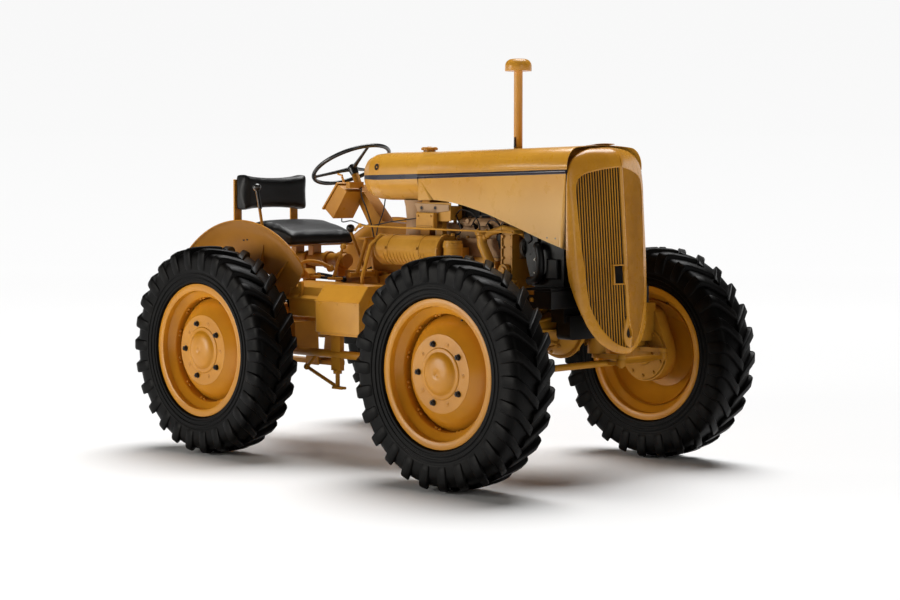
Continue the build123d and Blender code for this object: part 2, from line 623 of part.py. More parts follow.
def transmission():
    """Gearbox between the rails, from the rear axle to the bell housing."""
    z0, z1 = GEARBOX_BOTTOM, GEARBOX_TOP
    case = side_plate([(GEARBOX_REAR_X, z0 + 40), (GEARBOX_REAR_X + 60, z0), (BELL_X - 240, z0), (BELL_X - BELL_T, z0 + 20),
                       (BELL_X - BELL_T, z1 + 40), (BELL_X - 280, z1), (GEARBOX_REAR_X, z1 - 90)], -GEARBOX_HALF, GEARBOX_HALF)
    neck = rod((GEARBOX_REAR_X, 0, AXLE_Z), (REAR_X + 60, 0, AXLE_Z), 92)
    bell = cone((BELL_X - BELL_T, 0, BELL_Z), (BELL_X, 0, BELL_Z), BELL_R - 30, BELL_R)
    lid = block(BELL_X - 600, BELL_X - 280, -90, 90, z1 - 60, z1 + LID_T)
    ribs = [block(x - 5, x + 5, -GEARBOX_HALF - 14, GEARBOX_HALF + 14, z0 + 30, z1 - 110) for x in (BELL_X - 660, BELL_X - 520, BELL_X - 380, BELL_X - 240)]
    return cut(join(case, neck, bell, lid, *ribs), cross_tube(CROSS_X), diff_at(REAR_X))


def engine_block():
    """Crankcase, cylinder block and sump, with the feet on the rails."""
    block_ = block(BELL_X, BLOCK_FRONT_X, -BLOCK_HALF, BLOCK_HALF, BLOCK_BOTTOM + 60, BLOCK_TOP)
    flare = prism([(BELL_X, -BLOCK_HALF - 25, BLOCK_BOTTOM + 60), (BELL_X, BLOCK_HALF + 25, BLOCK_BOTTOM + 60),
                   (BELL_X, BLOCK_HALF + 25, BLOCK_BOTTOM + 130), (BELL_X, BLOCK_HALF, BLOCK_BOTTOM + 190),
                   (BELL_X, -BLOCK_HALF, BLOCK_BOTTOM + 190), (BELL_X, -BLOCK_HALF - 25, BLOCK_BOTTOM + 130)],
                  (BLOCK_FRONT_X - BELL_X, 0, 0))
    sump = side_plate([(BELL_X, BLOCK_BOTTOM + 60), (BLOCK_FRONT_X, BLOCK_BOTTOM + 60),
                       (BLOCK_FRONT_X - 60, BLOCK_BOTTOM), (BELL_X + 260, BLOCK_BOTTOM), (BELL_X + 200, BLOCK_BOTTOM - SUMP_DEPTH + 60),
                       (BELL_X + 20, BLOCK_BOTTOM - SUMP_DEPTH + 60)], -BLOCK_HALF + 15, BLOCK_HALF - 15)
    back = rod((BELL_X, 0, BELL_Z), (BELL_X + 16, 0, BELL_Z), BELL_R)
    foot = block(BLOCK_FRONT_X - 90, BLOCK_FRONT_X - 20, -RAIL_OUT + RAIL_W / 2, -BLOCK_HALF, RAIL_FRONT_Z + RAIL_H,
                 RAIL_FRONT_Z + RAIL_H + 24)
    rear = block(BELL_X + 16, RAMP_REAR_X - 8, -RAIL_OUT + RAIL_W / 2, -BLOCK_HALF, RAIL_REAR_Z + RAIL_H,
                 RAIL_REAR_Z + RAIL_H + 24)
    return join(block_, flare, sump, back, pair(foot), pair(rear))


def cylinder_head():
    slab = block(BELL_X + 20, BLOCK_FRONT_X - HEAD_SETBACK, -BLOCK_HALF + HEAD_INSET, BLOCK_HALF - HEAD_INSET,
                 BLOCK_TOP, BLOCK_TOP + HEAD_H)
    rocker = block(BELL_X + 40, BLOCK_FRONT_X - 40, -70, 70, BLOCK_TOP + HEAD_H, ROCKER_TOP)
    rocker = rocker.fillet(18, rocker.edges().filter_by(Axis.X).sort_by(Axis.Z)[-2:])
    return join(slab, rocker)


def port_xs():
    return [FIRST_PORT_X + i * PORT_PITCH for i in range(CYLINDERS)]


def manifold():
    """Log along the head with a branch to each port, and the down pipe."""
    xs = port_xs()
    log = rod((xs[0] - 36, MANIFOLD_Y, MANIFOLD_Z), (xs[-1] + 60, MANIFOLD_Y, MANIFOLD_Z), MANIFOLD_R)
    ports = [rod((x, MANIFOLD_Y, MANIFOLD_Z), (x, BLOCK_HALF - HEAD_INSET, MANIFOLD_Z), PORT_R) for x in xs]
    down = rod((xs[0], MANIFOLD_Y, MANIFOLD_Z), (xs[0], MANIFOLD_Y, MANIFOLD_Z - 100), 24)
    riser = rod((xs[2] + 40, MANIFOLD_Y, MANIFOLD_Z), (xs[2] + 40, MANIFOLD_Y, MANIFOLD_Z + 90), 20)
    return join(log, down, riser, *ports)


def bent_pipe(points, radius):
    """Round pipe through the points, with a ball at each bend."""
    legs = [rod(a, b, radius) for a, b in zip(points, points[1:])]
    balls = [Solid.make_sphere(radius, Plane(Vector(*p)), -90, 90, 360) for p in points[1:-1]]
    return join(legs[0], *legs[1:], *balls)


def engine_fittings():
    """Rounded gear case at the back of the engine with its vent pipe, oil filter, water elbow and pipe, front gear case."""
    y, z, r = GEAR_CASE_Y, GEAR_CASE_Z, GEAR_CASE_R
    x0, x1 = BELL_X - 165, BELL_X + 246
    dome = turned([(0, 0), (0, r), (14, r), (32, r - 10), (44, r - 28), (50, 0)], Axis.Y).rotate(Axis.Z, -90).moved(Location((x0, y, z)))
    body = rod((x0, y, z), (x1, y, z), r)
    lid = rod((x1, y, z), (x1 + 14, y, z), r + 8)
    case = join(body, dome, lid, block(x0 + 10, BELL_X + 20, y, -TANK_STAND_HALF + 10, z - 60, z + 50))
    box_top, box_y = TOOLBOX_Z0 + TOOLBOX_H, -RAIL_OUT - 15
    vent = bent_pipe([(x0 + 20, y, z + r - 10), (x0 - 10, y - 40, z + r - 4), (x0 - 30, y - 90, z + 20), (x0 - 10, box_y, box_top + 32),
                      (x0 - 10, box_y, box_top)], 9)
    fx = BELL_X + 310
    bowl = join(rod((fx, y - 20, z - 46), (fx, y - 20, z + 54), 45), rod((fx, y - 20, z + 20), (fx, y - 20, z + 32), 49),
                turned([(0, 0), (0, 45), (10, 42), (20, 30), (26, 0)], Axis.Y).rotate(Axis.X, 90).moved(Location((fx, y - 20, z + 54))),
                block(fx - 22, fx + 22, y - 20, -BLOCK_HALF, z - 30, z + 20))
    ex = BELL_X + 466
    elbow = join(bent_pipe([(ex, y + 20, z + 92), (ex, y + 20, z + 40), (ex + 70, y + 10, z - 60)], 24),
                 rod((ex, y + 20, z + 92), (ex, y + 20, z + 104), 36),
                 block(ex + 50, ex + 94, y + 10, -BLOCK_HALF, z - 84, z - 40))
    pipe = bent_pipe([(ex, y + 20, z + 60), (ex + 60, y + 14, z + 96), (ex + 150, y + 14, z + 118), (FAN_X - 50, y + 40, z + 100),
                      (FAN_X - 74, -BLOCK_HALF + 30, z + 70)], 15)
    front = block(BLOCK_FRONT_X - 60, BLOCK_FRONT_X + 10, y + 26, -BLOCK_HALF, z - 130, z + 96)
    boss = rod((BLOCK_FRONT_X - 30, y + 26, z - 80), (BLOCK_FRONT_X - 30, y + 2, z - 80), 30)
    tray = join(block(BELL_X + 24, BELL_X + 244, y + 30, y + 110, TANK_BOTTOM - 96, TANK_BOTTOM - 26),
                block(BELL_X + 20, BELL_X + 250, y + 24, y + 30, TANK_BOTTOM - 100, TANK_BOTTOM - 10),
                block(BELL_X + 24, BELL_X + 60, y + 30, -TANK_STAND_HALF + 10, TANK_BOTTOM - 96, TANK_BOTTOM - 40),
                block(BELL_X + 120, BELL_X + 160, y + 60, y + 90, BLOCK_TOP + HEAD_H - 10, TANK_BOTTOM - 90))
    made = join(case, vent, bowl, elbow, pipe, front, boss, tray)
    return cut(made, engine_block(), cylinder_head(), transmission(), tank_stand(), fan_room())


def fan_room():
    """Room that the fan and its pulley need."""
    return rod((FAN_X - 40, 0, FAN_Z), (FAN_X + 40, 0, FAN_Z), FAN_R + CLEAR)


def fan():
    hub = rod((BLOCK_FRONT_X - HEAD_SETBACK, 0, FAN_Z), (FAN_X + 40, 0, FAN_Z), 26)
    pulley = rod((FAN_X - 50, 0, FAN_Z), (FAN_X - 20, 0, FAN_Z), PULLEY_R)
    blade = prism([(FAN_X + 2, -40, 15), (FAN_X + 22, 40, 15), (FAN_X + 26, 40, 15), (FAN_X + 6, -40, 15)], (0, 0, FAN_R - 15))
    blades = [b.moved(Location((0, 0, FAN_Z))) for b in around(blade, FAN_BLADES, Axis.X, 20)]
    return join(hub, pulley, *blades)


def radiator():
    """Core between top and bottom tanks, on a ledge across the rails, with the fan's shroud behind it."""
    core = block(RAD_X0, RAD_X1, -RAD_HALF, RAD_HALF, RAD_LOW_TANK_Z + RAD_TANK_H, RAD_TOP - RAD_TANK_H)
    low = block(RAD_X0 + 14, RAD_X1 + 20, -RAD_HALF + 20, RAD_HALF - 20, RAD_LOW_TANK_Z, RAD_LOW_TANK_Z + RAD_TANK_H + 30)
    low = low.fillet(24, low.edges().filter_by(Axis.X).sort_by(Axis.Z)[:2])
    high = block(RAD_X0 - 15, RAD_X1 + 5, -RAD_HALF, RAD_HALF, RAD_TOP - RAD_TANK_H, RAD_TOP)
    high = high.fillet(30, high.edges().filter_by(Axis.X).sort_by(Axis.Z)[-2:])
    ledge = block(RAD_X0 - 40, RAIL_FRONT_X, -RAIL_OUT + 8, RAIL_OUT - 8, RAIL_FRONT_Z + RAIL_H,
                  RAIL_FRONT_Z + RAIL_H + LEDGE_T)
    out, hollow = SHROUD_HALF, SHROUD_HALF - SHROUD_T
    shroud = block(SHROUD_X, RAD_X0, -out, out, FAN_Z - out, FAN_Z + out)
    inside = block(SHROUD_X + SHROUD_T, RAD_X0, -hollow, hollow, FAN_Z - hollow, FAN_Z + hollow)
    mouth = rod((SHROUD_X - 1, 0, FAN_Z), (SHROUD_X + SHROUD_T + 1, 0, FAN_Z), FAN_R + FAN_TIP_GAP)
    return cut(join(core, low, high, ledge, cut(shroud, inside, mouth)), diff_at(FRONT_X))


# ---------------------------------------------------------------- hood, tank, stack
def hood_at(x):
    """Half width, crown height and hinge height of the hood at a station."""
    k = (x - SEAM_X) / (NOSE_X - SEAM_X)
    mix = lambda a, b: a + (b - a) * k
    return mix(SEAM_HALF, NOSE_HALF), mix(SEAM_TOP, NOSE_TOP), mix(HINGE_SEAM_Z, HINGE_NOSE_Z)


def roof(half, top, corner):
    """Eaves height, apex height and apex radius of the slight crown between two round shoulders."""
    eaves = top - CROWN
    pitch = CROWN / (1 - (half - corner) / (2 * half))
    turn = math.atan2(pitch, half)
    reach = half / math.cos(turn) - corner * math.tan((math.pi / 2 - turn) / 2) - 4
    return eaves, eaves + pitch, reach / math.tan(turn)


def arch(x, half, top, base, inset=0.0):
    """Closed section across the hood: upright sides, round shoulders and a slight crown."""
    half, top, corner = half - inset, top - inset, SHOULDER_R - inset
    eaves, apex, radius = roof(half, top, corner)
    points = [(x, -half, base), (x, -half, eaves), (x, 0, apex), (x, half, eaves), (x, half, base)]
    line = FilletPolyline(*points, radius=[corner, radius, corner])
    return Wire(line.edges() + [Edge.make_line(points[-1], points[0])])


def hinge_ends(side=-1):
    a = Vector(SEAM_X, side * (SEAM_HALF - SHEET / 2), HINGE_SEAM_Z)
    b = Vector(NOSE_X, side * (NOSE_HALF - SHEET / 2), HINGE_NOSE_Z)
    end = (b - a) * (2.0 / (b - a).length)
    return a + end, b - end


def barrels(which):
    """Hinge barrels along the panel's upper edge: the even ones are the hood's, the odd ones the panel's."""
    a, b = hinge_ends()
    way = b - a
    lines = []
    for i in range(HINGE_LEAVES):
        if i % 2 == which:
            p, q = a + way * ((i + 0.03) / HINGE_LEAVES), a + way * ((i + 0.97) / HINGE_LEAVES)
            lines.append((p, q))
    return [Solid.make_cylinder(HINGE_R, (q - p).length, Plane(origin=p, z_dir=way)) for p, q in lines], lines


def hinge_web(p, q, down):
    """Short strip of sheet between a barrel and its panel."""
    lift = Vector(0, 0, -HINGE_R - 4 if down else HINGE_R + 4)
    side = Vector(0, SHEET / 2, 0)
    face = Face(Wire.make_polygon([p - side, q - side, q - side + lift, p - side + lift], close=True))
    return Solid.extrude(face, side * 2)


def hood_top():
    """Arched top sheet between the tank and the grille shell, with its share of the hinges."""
    lift = HINGE_R + HINGE_GAP
    stations = [(x, *hood_at(x)) for x in (SEAM_X, NOSE_X)]
    outer = Solid.make_loft([arch(x, h, t, z + lift) for x, h, t, z in stations], ruled=True)
    inner = Solid.make_loft([arch(x, h, t, z + lift - 5, SHEET) for x, h, t, z in stations], ruled=True)
    sheet = cut(outer, inner)
    even, lines = barrels(0)
    a, b = hinge_ends()
    pin = Solid.make_cylinder(HINGE_PIN_R, (b - a).length, Plane(origin=a, z_dir=b - a))
    hinge = join(pin, *even, *[hinge_web(p, q, False) for p, q in lines])
    stack_hole = rod((STACK_X, 0, SEAM_TOP - 80), (STACK_X, 0, NOSE_TOP + 20), STACK_R + 2)
    return cut(join(sheet, hinge, hinge.mirror(Plane.XZ)), stack_hole)


def hood_panel(side):
    """Side panel: plain sheet whose lower edge sweeps down to the grille, hung from rolled barrels."""
    a, b = hinge_ends()
    along = Vector(b.X - a.X, b.Y - a.Y, 0)
    length = along.length
    plane = Plane(origin=Vector(a.X, a.Y, 0), x_dir=along, z_dir=Vector(along.Y, -along.X, 0))
    drop = HINGE_R + HINGE_GAP
    up = lambda s, z: plane.from_local_coords(Vector(s, z, 0))
    to_s = lambda x: (x - a.X) * length / (b.X - a.X)
    s0, s1 = PANEL_GAP, length - PANEL_GAP
    low = Edge.make_spline([up(s1, PANEL_NOSE_Z), up(to_s(PANEL_FALL_X), PANEL_FALL_Z), up(to_s(PANEL_MID_X), PANEL_MID_Z),
                            up(s0, PANEL_SEAM_Z)])
    edges = [Edge.make_line(up(s0, a.Z - drop), up(s1, b.Z - drop)), Edge.make_line(up(s1, b.Z - drop), up(s1, PANEL_NOSE_Z)),
             low, Edge.make_line(up(s0, PANEL_SEAM_Z), up(s0, a.Z - drop))]
    face = Face(Wire(edges))
    n = plane.z_dir
    sheet = Solid.extrude(face.moved(Location(n * (-SHEET / 2))), n * SHEET)
    odd, lines = barrels(1)
    bore = Solid.make_cylinder(HINGE_PIN_R + RUN, (b - a).length, Plane(origin=a, z_dir=b - a))
    made = join(sheet, *odd, *[hinge_web(p, q, True) for p, q in lines]).cut(bore)
    return on_side(made, side)


def tank_section(x, k=1.0):
    """Closed section of the tank: the hood's line above, rounder below, drawn in by k towards the tail."""
    half, h = SEAM_HALF, (SEAM_TOP - TANK_BOTTOM) / 2
    middle = SEAM_TOP - h
    eaves, apex, radius = roof(half, h, SHOULDER_R)
    outline = [(-half, -h), (-half, eaves), (0, apex), (half, eaves), (half, -h)]
    points = [(x, y * k, middle + z * k) for y, z in outline]
    radii = [r * k for r in (TANK_LOW_R, SHOULDER_R, radius, SHOULDER_R, TANK_LOW_R)]
    return Wire(FilletPolyline(*points, radius=radii, close=True).edges())


def fuel_tank():
    """Tank that carries the hood's line back to a rounded tail over the dash."""
    straight = Solid.make_loft([tank_section(SEAM_X), tank_section(TANK_TAIL_X + TANK_ROUND)], ruled=True)
    stations = []
    for k in (0.0, 0.35, 0.6, 0.8, 0.93, 0.99):
        stations.append(tank_section(TANK_TAIL_X + TANK_ROUND * (1 - k), (1 - k ** BULGE) ** (1 / BULGE)))
    tail = Solid.make_loft(stations, ruled=True)
    return join(straight, tail)


def tank_stand():
    """Pillar from the bell housing to the tank's floor."""
    pillar = block(BELL_X - TANK_STAND_L, BELL_X, -TANK_STAND_HALF, TANK_STAND_HALF, BELL_Z, TANK_BOTTOM)
    return cut(pillar, transmission(), engine_block())


def filler_cap():
    z = SEAM_TOP - FILLER_SINK
    return cut(join(rod((FILLER_X, 0, z), (FILLER_X, 0, z + FILLER_H - 12), FILLER_R - 8),
                    rod((FILLER_X, 0, z + 12), (FILLER_X, 0, z + FILLER_H), FILLER_R)), fuel_tank())


def intake_stack():
    """Air intake pipe through the hood, with a mushroom cap."""
    pipe = rod((STACK_X, 0, ROCKER_TOP), (STACK_X, 0, STACK_TOP - STACK_CAP_H + 10), STACK_R)
    cap_z = STACK_TOP - STACK_CAP_H
    cap = rod((STACK_X, 0, cap_z), (STACK_X, 0, STACK_TOP), STACK_CAP_R)
    cap = cap.fillet(STACK_CAP_H * 0.6, [cap.edges().sort_by(Axis.Z)[-1]])
    return join(pipe, cap)


# ---------------------------------------------------------------- grille
def ridge_x(z):
    return RIDGE_TOP_X + RIDGE_LEAN * (SHELL_TOP - z)


def shield(inset):
    """Right and left halves of the shield outline as one closed wire in the front view, at x = 0."""
    side, top, tip = SHELL_HALF - inset, SHELL_TOP - inset, SHELL_TIP_Z + inset * 1.3
    right = [Edge.make_spline([Vector(0, 0, tip), Vector(0, -side * 0.54, tip + 52), Vector(0, -side * 0.87, tip + 200),
                               Vector(0, -side, SHELL_SIDE_LOW)], tangents=[Vector(0, -1, 0.1), Vector(0, 0, 1)]),
             Edge.make_line(Vector(0, -side, SHELL_SIDE_LOW), Vector(0, -side, SHELL_SIDE_TOP - inset)),
             Edge.make_spline([Vector(0, -side, SHELL_SIDE_TOP - inset), Vector(0, -side * 0.72, top - 32), Vector(0, 0, top)],
                              tangents=[Vector(0, 0, 1), Vector(0, 1, 0)])]
    left = [e.mirror(Plane.XZ) for e in right]
    return Wire(right + left)


def grille_room():
    """Bounds that hold the whole grille with room to spare: x, y and z, low then high."""
    return NOSE_X - 212.0, ridge_x(SHELL_TIP_Z) + 200.0, -SHELL_HALF - 130.0, SHELL_HALF + 130.0, SHELL_TIP_Z - 188.0, \
        SHELL_TOP + 170.0


def prow(setback):
    """Everything behind the V front, moved back by a setback."""
    back, _, _, wide, z0, z1 = grille_room()
    solids = []
    for side in (-1, 1):
        y = side * wide
        corner = lambda z, yy: Vector(ridge_x(z) - setback - PROW * abs(yy), yy, z)
        lower = Wire.make_polygon([Vector(back, 0, z0), corner(z0, 0), corner(z0, y), Vector(back, y, z0)], close=True)
        upper = Wire.make_polygon([Vector(back, 0, z1), corner(z1, 0), corner(z1, y), Vector(back, y, z1)], close=True)
        solids.append(Solid.make_loft([lower, upper], ruled=True))
    return join(*solids)


def shield_column(inset):
    x0, x1 = grille_room()[:2]
    return Solid.extrude(Face(shield(inset)), Vector(x1 - x0, 0, 0)).moved(Location((x0, 0, 0)))


def opening(grow=0.0):
    """Area of the slots in the front view: the shield inside its border, less the ridge."""
    x0, x1, _, _, z0, z1 = grille_room()
    return shield_column(FRAME_W - grow).cut(block(x0, x1, -RIDGE_HALF + grow, RIDGE_HALF - grow, z0, z1))


def front_edges(solid, inset):
    """Edges of the V front: the ridge and, round it, the outline."""
    def lean(edge):
        low, high = edge.bounding_box().min, edge.bounding_box().max
        return high.X > NOSE_X + inset and not (high.X - low.X > 90 and high.Z - low.Z < 1 and abs(high.Y) > 1)
    found = [e for e in solid.edges() if lean(e) and e.bounding_box().min.X > NOSE_X + 40]
    ridge = [e for e in found if e.bounding_box().max.Y - e.bounding_box().min.Y < 1]
    return [e for e in found if e not in ridge], ridge


def rounded_front(inset, setback, edge_r):
    solid = meet(shield_column(inset), prow(setback))
    rim_edges, ridge = front_edges(solid, 0.0)
    return solid.fillet(edge_r, rim_edges + ridge)


def crank_hole():
    """Hole for the starting handle: round below, drawn to a narrower round above."""
    x0, x1 = grille_room()[:2]
    low, high, small = SHELL_TIP_Z + CRANK_UP, SHELL_TIP_Z + CRANK_UP + CRANK_SLOT, CRANK_R * 0.5
    lean = math.asin((CRANK_R - small) / CRANK_SLOT)
    side = [(CRANK_R * math.cos(lean), low + CRANK_R * math.sin(lean)), (small * math.cos(lean), high + small * math.sin(lean))]
    flank = prism([(x0, -side[0][0], side[0][1]), (x0, side[0][0], side[0][1]), (x0, side[1][0], side[1][1]),
                   (x0, -side[1][0], side[1][1])], (x1 - x0, 0, 0))
    return join(rod((x0, 0, low), (x1, 0, low), CRANK_R), rod((x0, 0, high), (x1, 0, high), small), flank)


def grille_shell():
    """Pressed shell: a V front on a shield outline with rounded edges, open behind and slotted inside its border."""
    outer = rounded_front(0.0, 0.0, SHELL_EDGE_R)
    inner = rounded_front(SHELL_T, SHELL_T * 1.1, SHELL_EDGE_R - SHELL_T)
    x0, x1, y0, y1, z0, z1 = grille_room()
    edge = ridge_x(SHELL_TIP_Z) - SHELL_LOW_DEPTH
    keep = side_plate([(NOSE_X, z1), (x1, z1), (x1, z0), (edge, z0), (edge, SHELL_TIP_Z), (NOSE_X, SHELL_SIDE_LOW - 60)], y0, y1)
    made = meet(cut(outer, inner), keep)
    return cut(made, opening(), crank_hole())


def grille_bars():
    """Row of upright bars behind the border, tied by a band round their ends."""
    front, back = rounded_front(SHELL_T, SHELL_T * 1.1, SHELL_EDGE_R - SHELL_T), prow(SHELL_T * 1.1 + BAR_T)
    slab = cut(meet(shield_column(FRAME_W - 8.0), front), back)
    width = SHELL_HALF - FRAME_W - RIDGE_HALF
    pitch = width / BAR_COUNT
    x0, x1, _, _, z0, z1 = grille_room()
    slots = [block(x0, x1, RIDGE_HALF + i * pitch + BAR_W / 2, RIDGE_HALF + (i + 1) * pitch - BAR_W / 2, z0, z1)
             for i in range(BAR_COUNT)]
    cutters = []
    zone = opening()
    for slot in slots:
        cutters += [slot.intersect(zone), slot.mirror(Plane.XZ).intersect(zone)]
    cutters = [c for c in cutters if c is not None]
    flat = []
    for c in cutters:
        flat += list(c) if isinstance(c, ShapeList) else [c]
    y1, y0 = -HATCH_IN, -HATCH_IN - HATCH_W
    h0, h1 = SHELL_TIP_Z + HATCH_UP, SHELL_TIP_Z + HATCH_UP + HATCH_H
    hole = block(x0, x1, y0, y1, h0, h1)
    around_hole = block(x0, x1, y0 - HATCH_BORDER, y1 + HATCH_BORDER, h0 - HATCH_BORDER, h1 + HATCH_BORDER)
    border = cut(meet(meet(around_hole, front), shield_column(FRAME_W)), back, hole)
    return join(cut(slab, *flat, around_hole), border)


# ---------------------------------------------------------------- driver's place
def column_point(t, y=0.0):
    a = math.radians(COLUMN_TILT)
    return (WHEEL_X + t * math.sin(a), y, WHEEL_Z - t * math.cos(a))


def steering_wheel():
    a = Vector(*column_point(0)) - Vector(*column_point(1))
    plane = Plane(origin=column_point(0), z_dir=a)
    section = Face(Wire.make_circle(STEER_RIM_R, Plane(origin=plane.from_local_coords(Vector(STEER_R, 0, 0)),
                                                       z_dir=plane.y_dir)))
    ring = Solid.revolve(section, 360, Axis(plane.origin, plane.z_dir))
    spokes = []
    for i in range(SPOKES):
        t = 2 * math.pi * (i + 0.5) / SPOKES
        end = plane.from_local_coords(Vector(STEER_R * math.cos(t), STEER_R * math.sin(t), 0))
        start = plane.from_local_coords(Vector(0, 0, -SPOKE_DISH))
        spokes.append(rod(tuple(start), tuple(end), SPOKE_R))
    hub = rod(column_point(-6), column_point(COLUMN_START - RUN), STEER_HUB_R)
    shaft = rod(column_point(0), column_point(COLUMN_START + COLUMN_SHAFT_L), COLUMN_SHAFT_R)
    return join(ring, hub, shaft, *spokes)


def steering_column():
    tube = rod(column_point(COLUMN_START), column_point(COLUMN_L), COLUMN_R)
    bore = rod(column_point(COLUMN_START - 1), column_point(COLUMN_START + COLUMN_SHAFT_L + RUN), COLUMN_SHAFT_R + RUN)
    top = column_point(150)
    x, z = BELL_X, GEARBOX_TOP
    pedestal = side_plate([(top[0] - 26, top[2] + 12), (top[0] + 26, top[2] + 28), (x - 370, z + 270), (x - 196, z + 260),
                           (x - 196, z + 10), (x - 280, z), (x - 280, z + LID_T), (x - 440, z + LID_T),
                           (x - 460, z + 230)], -PEDESTAL_HALF, PEDESTAL_HALF)
    return cut(join(tube, pedestal), bore, transmission())


def instrument_box():
    """Slanted box on the column's right, with a flanged lid towards the driver."""
    x, z = WHEEL_X, WHEEL_Z
    top, low = Vector(x + 71, -DASH_OUT, z - 105), Vector(x - 33, -DASH_OUT, z - 227)
    case = side_plate([(top.X, top.Z), (low.X, low.Z), (x + 32, z - 279), (x + 135, z - 141)], -DASH_OUT, -DASH_IN)
    along = (low - top).normalized()
    out = Vector(along.Z, 0, -along.X)
    corners = [top - along * 9, low + along * 9]
    lid = Solid.extrude(Face(Wire.make_polygon([c + Vector(0, -8, 0) for c in
                                                (corners[0], corners[1], corners[1] + out * 9, corners[0] + out * 9)],
                                               close=True)), Vector(0, DASH_OUT - DASH_IN + 16, 0))
    return cut(join(case, lid), steering_column())


def control_levers():
    """Gear lever, and the long lever with a knob beside the seat."""
    foot, grip = (BELL_X - 470, -60, GEARBOX_TOP), (BELL_X - 560, -90, GEARBOX_TOP + 220)
    knob = Solid.make_sphere(19, Plane((grip[0], grip[1], grip[2] + 10)), -90, 90, 360)
    gear = join(rod(foot, grip, 8), knob)
    low, top = (REAR_X - 20, -SEAT_HALF - 44, AXLE_Z + TUBE_R - 8), (REAR_X - 225, -SEAT_HALF - 24, SEAT_Z + 292)
    bend = (REAR_X - 140, -SEAT_HALF - 44, SEAT_Z + 20)
    ball = Solid.make_sphere(20, Plane((top[0], top[1], top[2] + 8)), -90, 90, 360)
    foot_block = block(low[0] - 24, low[0] + 24, low[1] - 14, low[1] + 14, AXLE_Z, low[2] + 44)
    seat_lever = join(bent_pipe([low, bend, top], 8), ball, foot_block)
    return one(ShapeList([cut(gear, transmission()), cut(seat_lever, rear_axle())]))


def seat_frame():
    """Flat bars under the cushion, the posts of the back and the stand."""
    x0, x1 = POST_X, SEAT_FRONT_X - 20
    back_x = SEAT_FRONT_X - 238
    bar = block(x0, x1, -POST_Y - POST_W / 2, -POST_Y + POST_W / 2, SEAT_Z - POST_T, SEAT_Z)
    post = block(x0, x0 + POST_T, -POST_Y - POST_W / 2, -POST_Y + POST_W / 2, SEAT_Z - POST_T, BACK_Z0 + BACK_H - 30)
    crosses = [block(x, x + STAND_W, -POST_Y, POST_Y, SEAT_Z - POST_T, SEAT_Z) for x in (back_x, x1 - 80)]
    stands = [block(x, x + STAND_W, -30, 30, SEAT_TUBE_Z, SEAT_Z - POST_T / 2) for x in (back_x, x1 - 80)]
    stands = [cut(s, rod((x0, 0, SEAT_TUBE_Z), (x1, 0, SEAT_TUBE_Z), SEAT_TUBE_R)) for s in stands]
    return join(pair(bar), pair(post), *crosses, *stands)


def seat_cushion():
    pad = block(SEAT_FRONT_X - SEAT_L, SEAT_FRONT_X, -SEAT_HALF, SEAT_HALF, SEAT_Z, SEAT_Z + SEAT_H)
    return pad.fillet(SEAT_ROUND, pad.edges())


def seat_back():
    x0 = POST_X + POST_T
    pad = block(x0, x0 + BACK_T, -BACK_HALF, BACK_HALF, BACK_Z0, BACK_Z0 + BACK_H)
    return pad.fillet(SEAT_ROUND, pad.edges())


def seat_tube():
    """Tube under the seat with its clamps, on a stand over the rear axle."""
    x0, z = SEAT_TUBE_X0, SEAT_TUBE_Z
    at = [x0 + 115, x0 + 275, x0 + 375]
    tube = rod((x0, 0, z), (x0 + SEAT_TUBE_L, 0, z), SEAT_TUBE_R)
    clamps = [rod((x, 0, z), (x + CLAMP_W, 0, z), SEAT_TUBE_R + 9) for x in at]
    legs = [block(at[0], at[0] + CLAMP_W, -35, 35, AXLE_Z + DIFF_R - 30, z),
            block(at[2], at[2] + CLAMP_W, -35, 35, GEARBOX_TOP - 80, z)]
    return cut(join(tube, *clamps, *legs), diff_at(REAR_X), transmission())


